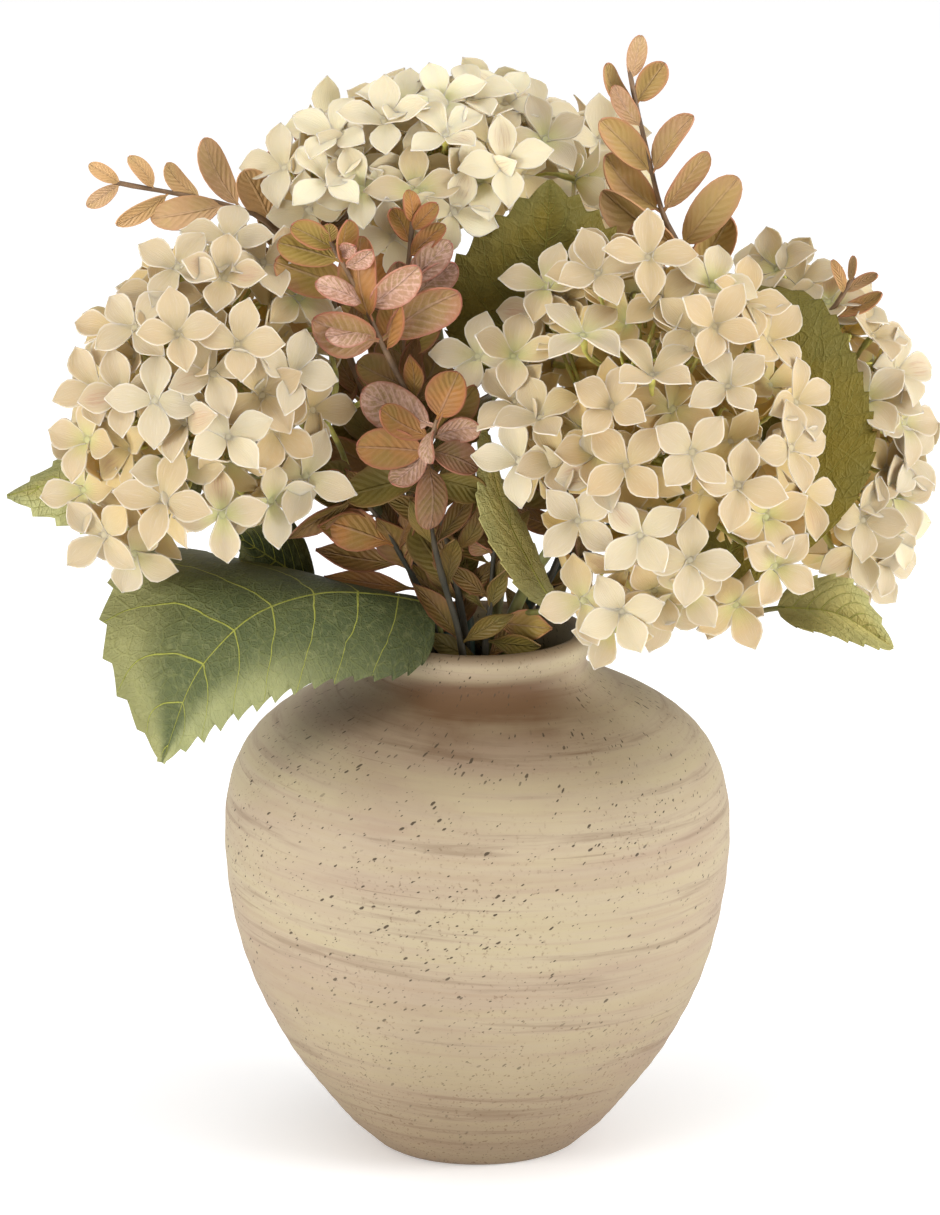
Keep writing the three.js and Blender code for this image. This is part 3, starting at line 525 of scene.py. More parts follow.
class LeafSettings(bpy.types.PropertyGroup):
    """Sizes and colours of the large leaves and of the flower stems."""

    thickness: length("Thickness", "Thickness of a large leaf", 0.8)
    tooth: length("Tooth Depth", "How far the teeth stand out from the edge", 3.0)
    vein_width: length("Vein Width", "Width of the side veins at the midrib", 0.75)
    stem: length("Stem Radius", "Radius of a flower stem", 2.4)
    stalk: length("Stalk Radius", "Radius of a leaf stalk", 1.4)
    dark: colour("Dark Green", "Blue-green middle of the darkest leaves", 60, 76, 50)
    olive: colour("Olive", "Colour of the olive leaves", 104, 88, 12)
    light: colour("Light Green", "Colour of the lightest leaves", 190, 178, 110)
    # Shade is a painted shade towards the foot of a leaf, under the flowers.
    shade: colour("Shade", "Dark green towards the foot of a leaf", 38, 48, 24)
    margin: colour("Margin", "Yellow-green along the edge", 170, 170, 118)
    vein: colour("Vein", "Colour of the veins", 160, 162, 74)
    stem_green: colour("Stem Green", "Colour of the olive flower stems", 104, 104, 44)
    stem_teal: colour("Stem Teal", "Colour of the darker flower stems", 44, 66, 56)
    stem_brown: colour("Stem Brown", "Brown tint along the stems", 92, 74, 46)


class SprigSettings(bpy.types.PropertyGroup):
    """Sizes and colours of the sprigs of small oval leaves."""

    thickness: length("Thickness", "Thickness of a small leaf", 0.6)
    stem: length("Stem Radius", "Radius of a sprig's stem at its foot", 1.35)
    fullness: amount("Fullness", "Scales the width of the small leaves", 1.12)
    rose: colour("Rose Brown", "Main colour of the small leaves", 150, 108, 74)
    olive: colour("Olive Brown", "Colour of the greener small leaves", 146, 124, 54)
    orange: colour("Orange Brown", "Colour of the orange small leaves", 178, 121, 60)
    pink: colour("Pink Vein", "Pale pink veins and sheen", 212, 172, 156)
    margin: colour("Margin", "Reddish rim of the small leaves", 168, 98, 80)
    shadow: colour("Shadow", "Dark brown of the leaves low in the vase", 64, 48, 20)
    moss: colour("Moss", "Olive green of some leaves low in the vase", 94, 86, 34)
    sunlit: colour("Sunlit", "Pale tan of the leaves in the open", 224, 188, 136)
    bark: colour("Bark", "Colour of the sprig stems", 108, 84, 60)
    foot: colour("Stem Foot", "Dark green of the sprig stems in the vase's mouth", 33, 39, 29)


class StageSettings(bpy.types.PropertyGroup):
    """Floor and light round the arrangement."""

    floor: colour("Floor", "Colour of the floor", 252, 252, 253)
    floor_radius: length("Floor Radius", "Radius of the floor", 30000)
    glow: amount("Glow", "Light of the lit table top that the floor is", 0.25)
    sky: amount("Sky", "Strength of the even light", 0.57)
    key: amount("Key", "Power of the front light in watts", 6)
    top: amount("Top", "Power of the overhead light in watts", 34)
    side: amount("Side", "Power of each side light in watts", 54)


SETTINGS = {
    "hydrangea_vase": VaseSettings,
    "hydrangea_bloom": BloomSettings,
    "hydrangea_leaf": LeafSettings,
    "hydrangea_sprig": SprigSettings,
    "hydrangea_stage": StageSettings,
}

# ------------------------------------------------------------------ shader maths


class Wire:
    """A socket of a material's nodes. Arithmetic on it adds Math nodes."""

    def __init__(self, paint, socket):
        self.paint = paint
        self.socket = socket

    def __add__(self, other):
        return self.paint.math("ADD", self, other)

    __radd__ = __add__

    def __sub__(self, other):
        return self.paint.math("SUBTRACT", self, other)

    def __rsub__(self, other):
        return self.paint.math("SUBTRACT", other, self)

    def __mul__(self, other):
        return self.paint.math("MULTIPLY", self, other)

    __rmul__ = __mul__

    def __truediv__(self, other):
        return self.paint.math("DIVIDE", self, other)

    def __rtruediv__(self, other):
        return self.paint.math("DIVIDE", other, self)

    def __pow__(self, other):
        return self.paint.math("POWER", self, other)

    def __rpow__(self, other):
        return self.paint.math("POWER", other, self)

    def __abs__(self):
        return self.paint.math("ABSOLUTE", self)

    def between(self, low, high):
        """0 below low and 1 above high, with a smooth rise between them."""
        return self.paint.node(
            "MapRange", {"interpolation_type": "SMOOTHSTEP"}, {"Value": self, 1: low, 2: high}
        )


class Paint:
    """The node material of one finish."""

    def __init__(self, name):
        self.material = bpy.data.materials.new(name)
        self.material.use_nodes = True
        self.tree = self.material.node_tree
        self.shader = self.tree.nodes["Principled BSDF"]

    def node(self, kind, settings=None, inputs=None, output=0):
        """A shader node: its settings first, then the values or links of its sockets."""
        made = self.tree.nodes.new("ShaderNode" + kind)
        for name, value in (settings or {}).items():
            setattr(made, name, value)
        for name, value in (inputs or {}).items():
            self.feed(made.inputs[name], value)
        return Wire(self, made.outputs[output])

    def feed(self, socket, value):
        """Links a wire to a socket, or sets the socket to a plain value."""
        if isinstance(value, Wire):
            self.tree.links.new(value.socket, socket)
        elif socket.type == "RGBA":
            socket.default_value = (*value, 1)
        else:
            socket.default_value = value

    def math(self, operation, *values):
        """One Math node on these values."""
        return self.node("Math", {"operation": operation}, dict(enumerate(values)))

    def mix(self, factor, a, b):
        """Colour b over colour a by factor. The sockets' numbers are those of colours."""
        return self.node("Mix", {"data_type": "RGBA"}, {0: factor, 6: a, 7: b}, output=2)

    def place(self):
        """The point on the piece, in metres."""
        return self.node("TexCoord", output="Object")

    def vector(self, x, y, z):
        """A vector made of these values."""
        return self.node("CombineXYZ", None, {"X": x, "Y": y, "Z": z})

    def parts(self, whole):
        """The x, y and z of a vector."""
        split = self.node("SeparateXYZ", None, {"Vector": whole})
        return tuple(Wire(self, output) for output in split.socket.node.outputs)

    def attribute(self, name):
        """The x, y and z of an attribute of the mesh."""
        return self.parts(self.node("Attribute", {"attribute_name": name}, output="Vector"))

    def cracks(self, place, scale):
        """Distance to the edges of irregular cells."""
        inputs = {"Vector": place, "Scale": scale}
        return self.node("TexVoronoi", {"feature": "DISTANCE_TO_EDGE"}, inputs)

    def noise(self, place, scale, detail=3.0, roughness=0.5, distortion=0.0):
        """Grey noise from 0 to 1."""
        inputs = {
            "Vector": place, "Scale": scale, "Detail": detail, "Roughness": roughness,
            "Distortion": distortion,
        }
        return self.node("TexNoise", None, inputs)

    def bump(self, height, distance, strength=1.0):
        """Relief of the surface for the shader's normal."""
        inputs = {"Height": height, "Distance": distance, "Strength": strength}
        self.feed(self.shader.inputs["Normal"], self.node("Bump", None, inputs))

    def finish(self, colour, roughness, **plain):
        """Sets the shader's colour, roughness and any other sockets, given with _ for spaces."""
        self.feed(self.shader.inputs["Base Color"], colour)
        self.feed(self.shader.inputs["Roughness"], roughness)
        for name, value in plain.items():
            self.feed(self.shader.inputs[name.replace("_", " ")], value)
        return self.material


def scaled(colour, factor):
    """A colour made lighter or darker."""
    return tuple(min(1.0, c * factor) for c in colour)


def vein_place(along, across, side, sweep):
    """Where on the midrib, from 0 to 1, the side vein through a place on a large leaf starts. It
    takes numbers for the mesh and wires for the paint, so that both have the same veins."""
    return along - sweep * side * (0.12 + 0.24 * side) + 0.01 * across


def stoneware_paint(vase):
    """Matt clay with slanting brushed streaks, dark flecks, darker brown towards the foot, and painted
    shade under the lip and on the rim.
    """
    paint = Paint("brushed_stoneware")
    place = paint.place()
    x, y, z = paint.parts(place)
    slant = z + 0.05 * x
    streak_place = paint.vector(x * 8, y * 8, slant * 170)
    wide_place = paint.vector(x * 6, y * 6, slant * 26)
    hair_place = paint.vector(x * 14, y * 14, slant * 700)
    streaks = paint.noise(streak_place, 1.0, 6.0, 0.65, 0.3)
    bands = paint.noise(wide_place, 1.0, 5.0, 0.6, 0.5)
    fine = paint.noise(hair_place, 0.6, 4.0, 0.6)
    hairs = paint.noise(hair_place, 1.0, 2.0, 0.5).between(0.66, 0.76)
    clouds = paint.noise(place, 16.0, 4.0)
    specks = paint.noise(place, 700.0, 2.0).between(0.6, 0.72)

    # Brushed colours.
    base = paint.mix(bands.between(0.4, 0.68) * 0.75, vase.cool, vase.warm)
    base = paint.mix(streaks.between(0.38, 0.62) * 0.55, base, vase.clay)
    base = paint.mix(streaks.between(0.52, 0.68) * 0.42 + hairs * 0.34, base, vase.shade)
    base = paint.mix(fine.between(0.5, 0.7) * 0.3, base, vase.warm)

    # Darker brown towards the foot. Painted shade under the lip, strongest in front where the flowers
    # shadow the shoulder, and painted shade on the top of the rim.
    height = z + 0.03 * (clouds - 0.5) + 0.012 * (streaks - 0.5)
    foot = 1 - height.between(-0.02, 0.105)
    base = paint.mix(foot * (0.42 + 0.5 * streaks + 0.4 * specks), base, vase.shade)
    facing = ((0 - y) / (x * x + y * y) ** 0.5).between(0.3, 1.0)
    near_neck = height.between(0.168, 0.182)
    slope = height.between(0.138, 0.176) * 0.42 + near_neck * near_neck * 0.58
    # Painted shade under the lip, stronger towards the front.
    neck_shade = slope * (1 - z.between(0.19, 0.1955)) * (0.15 + 0.85 * facing)
    base = paint.mix(neck_shade * (0.8 + 0.5 * streaks), base, vase.shade)
    # Painted shade on the top of the rim.
    top = z.between(0.1985, 0.202)
    base = paint.mix(top * (0.4 + 0.3 * clouds), base, vase.shade)
    base = paint.mix(specks * clouds.between(0.4, 0.56) * 0.42, base, vase.shade)

    # Slanting flecks in three sizes, on the wall laid flat.
    upper = z.between(0.02, 0.12)
    wobble = paint.noise(place, 420.0, 2.0) - 0.5
    round_about = paint.math("ARCTAN2", x, 0 - y) * 0.09
    lengthways = round_about * 0.86 + z * 0.5
    crossways = z * 0.86 - round_about * 0.5
    flecks = None
    for size, rarest in ((1.0, 0.935), (0.66, 0.94), (0.42, 0.94)):
        cell = vase.fleck_size * size * 2.2
        flat = paint.vector(
            lengthways + wobble * 0.0016, crossways * 2.3 + wobble * 0.0024, size
        )
        dots = paint.node(
            "TexVoronoi", {"voronoi_dimensions": "2D"}, {"Vector": flat, "Scale": 1 / cell}
        )
        kept, width, _ = paint.parts(Wire(paint, dots.socket.node.outputs["Color"]))
        chosen = kept.between(rarest, rarest + 0.02) * clouds.between(0.3, 0.46)
        dot = 1 - (dots + width * 0.16).between(0.2, 0.3)
        mark = dot * chosen * (0.5 + 0.5 * upper)
        flecks = mark if flecks is None else flecks + mark
    base = paint.mix(flecks, base, vase.fleck)

    relief = streaks * 0.4 + hairs * -0.2 + flecks * -0.8 + specks * -0.2
    paint.bump(relief, 0.0004, 0.5)
    return paint.finish(base, 0.62 + 0.2 * streaks)


def foam_paint(vase):
    """Matt crumbly foam."""
    paint = Paint("holding_foam")
    place = paint.place()
    pores = paint.node("TexVoronoi", None, {"Vector": place, "Scale": 900.0})
    grain = paint.noise(place, 260.0)
    paint.bump(pores + grain, 0.0006, 0.8)
    base = paint.mix(grain.between(0.35, 0.7), scaled(vase.foam, 0.5), vase.foam)
    return paint.finish(base, 0.95)


def petal_paint(bloom):
    """Cream petals, some with a peach tint, a green middle or pink streaks, with painted golden shade
    inside a head and a painted highlight along the edges.
    """
    paint = Paint("cream_petal")
    along, across, deep_shade = paint.attribute("petal")
    tint, green, pink = paint.attribute("blush")
    place = paint.place()
    side = abs(across)
    cloud = paint.noise(place, 90.0, 2.0)

    base = paint.mix(tint * (0.35 + 0.65 * cloud), bloom.cream, bloom.peach)
    # Whiter florets, on the whiter heads partly a painted light.
    base = paint.mix(tint * -0.9, base, bloom.snow)
    # Painted golden shade on petals deeper inside the head.
    base = paint.mix(deep_shade * (0.65 + 0.4 * cloud), base, bloom.deep_shade)
    middle = (1 - along.between(0.0, 0.62)) * (1 - side.between(0.3, 1.0) * 0.5)
    base = paint.mix(middle * green, base, bloom.green)
    streak_place = paint.vector(across * 9, along * 1.6, tint * 40)
    streaks = paint.noise(streak_place, 1.0, 3.0).between(0.46, 0.62)
    patch = along.between(0.2, 0.45) * (1 - along.between(0.65, 0.95)) * (1 - side.between(0.35, 0.8))
    base = paint.mix(patch * (0.35 + 0.65 * streaks) * pink, base, bloom.pink)
    veins = paint.noise(streak_place, 2.2, 2.0)
    base = paint.mix(veins.between(0.5, 0.75) * 0.2 * (1 - deep_shade), base, bloom.rim)
    # Painted highlight along the petals' edges, less inside the head.
    edge = side.between(0.84, 1.0) + along.between(0.93, 1.0)
    base = paint.mix(edge * 0.6 * (1 - 0.6 * deep_shade), base, bloom.rim)

    paint.bump(veins * 0.9 + cloud * 0.3, 0.0004, 0.5)
    return paint.finish(
        base, 0.5 + 0.12 * cloud, Subsurface_Weight=0.35, Subsurface_Scale=0.003,
        Subsurface_Radius=(1.0, 0.7, 0.35), Specular_IOR_Level=0.3,
    )


def branch_paint(bloom):
    """Yellow-green branches and pedicels."""
    paint = Paint("green_branch")
    place = paint.place()
    cloud = paint.noise(place, 120.0)
    pale, dark = scaled(bloom.stalk, 1.5), scaled(bloom.stalk, 0.75)
    base = paint.mix(cloud.between(0.35, 0.65), dark, pale)
    paint.bump(paint.noise(place, 900.0), 0.0003, 0.4)
    return paint.finish(base, 0.5, Subsurface_Weight=0.1, Subsurface_Scale=0.002)


def leaf_paint(leaf):
    """Printed cloth leaf with yellow-green veins, a fine net between them and a light margin, and
    painted shade towards its foot and on its right half.
    """
    paint = Paint("toothed_leaf")
    across, along, seed = paint.attribute("blade")
    wide, far, size = paint.attribute("spot")
    olive, light, sweep = paint.attribute("tone")
    side = abs(across)
    span = abs(wide)
    flat = paint.vector(wide, far, seed)

    bend = paint.noise(flat, 60.0, 2.0) - 0.5
    reach = (vein_place(along, across, side, sweep) + 0.03 * bend) * LEAF_VEINS
    near = abs(paint.math("PINGPONG", reach, 0.5))
    from_vein = near * size / LEAF_VEINS * 0.86
    thin = leaf.vein_width * (1 - 0.65 * side)
    inside = reach.between(0.1, 0.35)
    side_veins = (1 - (from_vein / thin).between(0.25, 0.62)) * inside
    midrib = 1 - (span / (leaf.vein_width * 1.5 * (1.15 - along))).between(0.3, 0.75)

    net = 1 - paint.cracks(flat, 430.0).between(0.02, 0.14)
    branches = 1 - paint.cracks(flat, 150.0).between(0.01, 0.07)

    cloud = paint.noise(flat, 45.0, 3.0)
    body = paint.mix(olive, leaf.dark, leaf.olive)
    body = paint.mix(light, body, leaf.light)
    edge = (side + along * along * 0.55 + 0.3 * cloud).between(0.72, 1.25)
    edge = edge * (0.12 + 0.88 * along.between(0.25, 0.75))
    body = paint.mix(edge * (0.75 - 0.65 * olive), body, leaf.margin)
    body = paint.mix(cloud.between(0.35, 0.75) * 0.35, body, leaf.dark)
    # Painted shade towards the foot of the leaf.
    body = paint.mix((1 - along.between(0.0, 0.6)) * 0.6 * (1 - olive), body, leaf.shade)
    # Painted olive shade on the right half of each blade.
    body = paint.mix(across.between(0.1, 0.9) * 0.3, body, leaf.olive)
    body = paint.mix((net * 0.05 + branches * 0.05) * (1 - 0.7 * olive), body, leaf.vein)
    ribs = paint.math("MAXIMUM", side_veins, midrib)
    body = paint.mix(ribs * (0.95 - 0.7 * olive), body, leaf.vein)
    wrinkles = paint.noise(flat, 260.0, 3.0, 0.6, 1.2)
    body = paint.mix(wrinkles.between(0.48, 0.7) * (0.15 - 0.12 * olive), body, leaf.margin)

    weave = paint.noise(flat, 1500.0, 1.0)
    relief = ribs * -0.9 + net * -0.2 + branches * -0.3 + weave * 0.3 + wrinkles * 0.9
    paint.bump(relief, 0.0007, 0.9)
    return paint.finish(body, 0.5 + 0.15 * cloud, Specular_IOR_Level=0.18)


def stem_paint(leaf):
    """Flower stems and leaf stalks, green with brown patches."""
    paint = Paint("flower_stem")
    place = paint.place()
    x, y, z = paint.parts(place)
    streaks = paint.noise(paint.vector(x * 400, y * 400, z * 25), 1.0)
    teal, _, _ = paint.attribute("tone")
    base = paint.mix(teal, leaf.stem_green, leaf.stem_teal)
    base = paint.mix(streaks.between(0.42, 0.66) * 0.5, base, leaf.stem_brown)
    base = paint.mix(z.between(0.225, 0.27) * 0.6, base, leaf.margin)
    paint.bump(streaks, 0.0004, 0.6)
    return paint.finish(base, 0.5 + 0.2 * streaks)


def sprig_leaf_paint(sprig):
    """Small oval leaves, rose brown to olive, with pale pink veins."""
    paint = Paint("oval_leaf")
    across, along, seed = paint.attribute("blade")
    wide, far, shade = paint.attribute("spot")
    olive, orange, pale = paint.attribute("tone")
    side = abs(across)
    flat = paint.vector(wide, far, seed)
    cloud = paint.noise(flat, 150.0, 3.0)
    blotch = paint.noise(flat, 75.0, 3.0)
    grain = paint.noise(flat, 700.0, 2.0)
    rows = (along - 0.32 * side + 0.12 * cloud) * 8
    near = paint.math("PINGPONG", rows, 0.5)
    inside = along.between(0.08, 0.2) * (1 - side.between(0.75, 0.95))
    ladder = (1 - near.between(0.03, 0.2)) * inside * cloud.between(0.3, 0.5)
    valleys = near.between(0.2, 0.48) * inside * grain.between(0.3, 0.6)

    base = paint.mix(olive, sprig.rose, sprig.olive)
    base = paint.mix(blotch.between(0.46, 0.58) * 0.6, base, sprig.olive)
    base = paint.mix(orange * (0.35 + 0.65 * blotch.between(0.62, 0.42)), base, sprig.orange)
    base = paint.mix(blotch.between(0.44, 0.34) * 0.45, base, sprig.rose)
    # Painted shade in the grooves between the ribs.
    base = paint.mix(valleys * 0.09, base, sprig.shadow)
    base = paint.mix(side.between(0.5, 1.0) * 0.25, base, sprig.margin)
    base = paint.mix(pale * (0.35 + 0.5 * grain.between(0.45, 0.62)), base, sprig.pink)
    base = paint.mix(ladder * (0.06 + 0.74 * pale), base, sprig.pink)
    rib = 1 - side.between(0.02, 0.1)
    base = paint.mix(rib * (0.18 + 0.3 * pale), base, sprig.pink)
    edge = side.between(0.86, 0.97) + along.between(0.95, 1.0)
    base = paint.mix(edge * 0.5, base, sprig.margin)
    # Painted shade on leaves whose shade is above 0, and painted sunlight on those below 0.
    base = paint.mix(shade * (0.5 + 0.5 * cloud), base, sprig.shadow)
    base = paint.mix(shade * -0.6, base, sprig.sunlit)
    base = paint.mix(pale * -1 * (0.6 + 0.4 * blotch), base, sprig.moss)

    paint.bump(near * inside * 0.9 - rib * 0.8 + cloud * 0.6 + grain * 0.3, 0.0006, 0.9)
    return paint.finish(base, 0.45 + 0.2 * cloud, Specular_IOR_Level=0.3)


def bark_paint(sprig):
    """Sprig stems, brown with paler knots and dark green low in the vase."""
    paint = Paint("sprig_stem")
    place = paint.place()
    _, _, z = paint.parts(place)
    cloud = paint.noise(place, 150.0)
    pale, dark = scaled(sprig.bark, 1.5), scaled(sprig.bark, 0.7)
    base = paint.mix(cloud.between(0.3, 0.7), dark, pale)
    base = paint.mix((1 - z.between(0.235, 0.3)) * 0.85, base, sprig.foot)
    paint.bump(paint.noise(place, 700.0), 0.0004, 0.6)
    return paint.finish(base, 0.6)


def floor_paint(stage):
    """Plain pale floor with a trace of grain."""
    paint = Paint("pale_floor")
    place = paint.place()
    grain = paint.noise(place, 4.0)
    base = paint.mix(grain, stage.floor, scaled(stage.floor, 0.985))
    return paint.finish(base, 0.9, Emission_Color=(1, 1, 1), Emission_Strength=stage.glow)


# ------------------------------------------------------------------ curves and meshes

# Points at which a smooth path is measured between two given ones.
PATH_STEPS = 24

# Faces round the tubes.
STEM_SIDES, STALK_SIDES, BRANCH_SIDES, PEDICEL_SIDES = 10, 8, 7, 6

# A direction that no tube starts in, to turn its first ring by.
ASIDE = (0.31, 0.95, 0.05)

# Edges sharper than this many degrees stay sharp.
SHARP_EDGE = 72


def unit(vector):
    """The vector, or each vector of an array, at length one."""
    vector = np.asarray(vector, float)
    return vector / np.linalg.norm(vector, axis=-1, keepdims=True)


def smooth_path(points, count):
    """count points evenly spaced along a smooth curve through the given points."""
    p = np.array(points, float)
    if len(p) < 3:
        return p[0] + (p[-1] - p[0]) * np.linspace(0, 1, count)[:, None]
    knots = np.concatenate([[0], np.cumsum(np.sqrt(np.linalg.norm(np.diff(p, axis=0), axis=1)))])
    slopes = np.gradient(p, knots, axis=0)
    dense = []
    for i in range(len(p) - 1):
        span = knots[i + 1] - knots[i]
        t = np.linspace(0, 1, PATH_STEPS, endpoint=i == len(p) - 2)[:, None]
        dense.append(
            (2 * t**3 - 3 * t**2 + 1) * p[i]
            + (t**3 - 2 * t**2 + t) * span * slopes[i]
            + (3 * t**2 - 2 * t**3) * p[i + 1]
            + (t**3 - t**2) * span * slopes[i + 1]
        )
    dense = np.concatenate(dense)
    run = np.concatenate([[0], np.cumsum(np.linalg.norm(np.diff(dense, axis=0), axis=1))])
    wanted = np.linspace(0, run[-1], count)
    return np.stack([np.interp(wanted, run, dense[:, axis]) for axis in range(3)], axis=1)


def along_path(path, place):
    """The point at a place from 0 to 1 along evenly spaced points."""
    at = place * (len(path) - 1)
    first = min(int(at), len(path) - 2)
    return path[first] + (path[first + 1] - path[first]) * (at - first)


def planted(points):
    """Stem points, where a point without a height stands upright in the foam."""
    out = []
    for point in points:
        if len(point) == 2:
            out += [(*point, height) for height in (STEM_FOOT, FOAM_TOP, STEM_STRAIGHT)]
        else:
            out.append(point)
    return out


def between_rings(rings, sides):
    """Four-cornered faces between a number of rings of this many points each."""
    index = np.arange(rings * sides).reshape(-1, sides)
    turned = np.roll(index, -1, axis=1)
    return np.stack([index[:-1], turned[:-1], turned[1:], index[1:]], axis=-1).reshape(-1, 4)


class Gather:
    """Collects the surfaces of one piece in millimetres, with numbers that its paint reads."""

    def __init__(self, *marks):
        self.names = marks
        self.points = []
        self.faces = []
        self.slots = []
        self.marks = {name: [] for name in marks}
        self.count = 0

    def add(self, points, faces, slot=0, **marks):
        """Adds points (n, 3) and four-cornered faces (m, 4) that index them."""
        self.points.append(points)
        self.faces.append(np.asarray(faces) + self.count)
        self.slots.append(np.full(len(faces), slot))
        for name in self.names:
            values = np.broadcast_to(marks.get(name, (0.0, 0.0, 0.0)), (len(points), 3))
            self.marks[name].append(values)
        self.count += len(points)

    def sheets(self, grids, thickness, slot=0, **marks):
        """Closed blades from midsurface grids (blades, rows, columns, 3)."""
        grids = np.asarray(grids, float)
        blades, rows, columns, _ = grids.shape
        normal = unit(np.cross(np.gradient(grids, axis=2), np.gradient(grids, axis=1)))
        half = normal * thickness / 2
        points = np.stack([grids + half, grids - half], axis=1)
        index = np.arange(rows * columns).reshape(rows, columns)
        quads = np.stack([index[:-1, :-1], index[:-1, 1:], index[1:, 1:], index[1:, :-1]], axis=-1)
        upper = quads.reshape(-1, 4)[:, ::-1]
        lower = quads.reshape(-1, 4) + rows * columns
        loop = np.concatenate([index[0], index[1:, -1], index[-1, -2::-1], index[-2:0:-1, 0]])
        after = np.roll(loop, -1)
        rim = np.stack([loop, after, after + rows * columns, loop + rows * columns], axis=1)
        one = np.concatenate([upper, lower, rim])
        step = 2 * rows * columns
        faces = (one[None] + np.arange(blades)[:, None, None] * step).reshape(-1, 4)
        spread = {
            name: np.repeat(np.broadcast_to(value, grids.shape)[:, None], 2, axis=1).reshape(-1, 3)
            for name, value in marks.items()
        }
        self.add(points.reshape(-1, 3), faces, slot, **spread)

    def tube(self, path, radii, sides, slot=0, **marks):
        """A closed round tube along a path, with a radius for each point."""
        path = np.asarray(path, float)
        radii = np.broadcast_to(radii, len(path))
        tangents = unit(np.gradient(path, axis=0))
        side = unit(np.cross(tangents[0], ASIDE))
        rings = []
        angles = np.linspace(0, 2 * math.pi, sides, endpoint=False)
        for point, tangent, radius in zip(path, tangents, radii):
            side = unit(side - tangent * np.dot(side, tangent))
            other = np.cross(tangent, side)
            ring = np.cos(angles)[:, None] * side + np.sin(angles)[:, None] * other
            rings.append(point + ring * radius)
        first, last = np.repeat(path[:1], sides, axis=0), np.repeat(path[-1:], sides, axis=0)
        rings = np.array([first, *rings, last])
        self.add(rings.reshape(-1, 3), between_rings(len(rings), sides), slot, **marks)

    def piece(self, name, paints, record_slot, *nodes):
        """The finished object, in metres, riding on the root and standing for CAD nodes."""
        mesh = bpy.data.meshes.new(name)
        mesh.from_pydata(
            (np.concatenate(self.points) * MM).tolist(), [], np.concatenate(self.faces).tolist()
        )
        for mark in self.names:
            values = np.concatenate(self.marks[mark]).astype(np.float32)
            made = mesh.attributes.new(mark, "FLOAT_VECTOR", "POINT")
            made.data.foreach_set("vector", values.ravel())
        for paint in paints:
            mesh.materials.append(paint)
        mesh.polygons.foreach_set("material_index", np.concatenate(self.slots).astype(np.int32))
        mesh.validate()
        mesh.shade_smooth()
        mesh.set_sharp_from_angle(angle=math.radians(SHARP_EDGE))
        made = bpy.data.objects.new(name, mesh)
        bpy.context.collection.objects.link(made)
        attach(made, "root")
        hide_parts(*nodes)
        return made


# ------------------------------------------------------------------ florets

PETALS = 4

# Half width along a petal, from its foot to its tip, as shares of the greatest. Petals inside a
# head keep only the coarse places, and every second column.
PETAL_PLACES = np.array([0, 0.1, 0.24, 0.4, 0.54, 0.68, 0.8, 0.89, 0.95, 1.0])
PETAL_WIDTHS = np.array([0.26, 0.36, 0.62, 0.9, 1.0, 0.9, 0.63, 0.35, 0.16, 0.02])
PETAL_COLUMNS = np.linspace(-1, 1, 7)
COARSE_PLACES = [0, 2, 4, 6, 9]

# How florets differ. Degrees that the petals of a floret rise at the foot at least, how many more
# at most, what one petal adds to that, and its slope at the tip. Then shares of its length and
# width, how far it cups and how far it twists.
RISE, RISE_MORE, RISE_OF_ONE, TIP_SLOPE = 14, 32, (-6, 12), (-32, 24)
PETAL_LENGTHS, PETAL_FULLNESS, PETAL_CUP, PETAL_TWIST = (0.95, 1.05), (0.92, 1.06), (0.16, 0.46), 0.16

# Heights in millimetres of a petal's groove and ripples, and of two petals over the other two.
GROOVE, RIPPLE, OVERLAP = 0.1, 0.35, 0.5

# The dome that joins a floret's petals: its size in millimetres, its corners, and its rings as
# shares of its radius and height.
BUTTON_RADIUS = 2.3
BUTTON_HEIGHT = 0.85
BUTTON_SIDES = 8
BUTTON_RINGS = ((1, 0.25), (0.85, 0.6), (0.5, 0.9), (0, 1))

# The florets' middles lie on this share of a head's half sizes.
FLORET_OUTLINE = 0.93

# Layers in which a head is filled: share of its half sizes, and how many seats are tried. The
# florets of the first keep clear of the traced ones.
LAYERS = ((FLORET_OUTLINE, 700), (0.7, 320), (0.46, 140))

# Florets with a depth above this have fine petals.
FINE_DEPTH = 0.8

# No floret grows this near to the stem, as a cosine, in another head, which is taken as smaller
# by a share, or this near in millimetres to a leaf or a sprig.
STEM_ROOM = 0.84
OTHER_HEAD = 0.8
CROWD_ROOM = 12
LEAST_FLORETS = 10

# A head has a main branch for this many florets, and at least so many branches. Each ends in a
# knot at this share of the way to the middle of its florets.
FLORETS_A_BRANCH = 8
LEAST_BRANCHES = 5
KNOT_PLACE = 0.52

# Points along a main branch, along a pedicel and along a branch that the photograph shows, and
# how much wider a pedicel is at its last three, under the floret.
BRANCH_POINTS = 9
PEDICEL_POINTS = 11
SHOWN_POINTS = 20
PEDICEL_END = np.array([1.2, 1.9, 1.6])


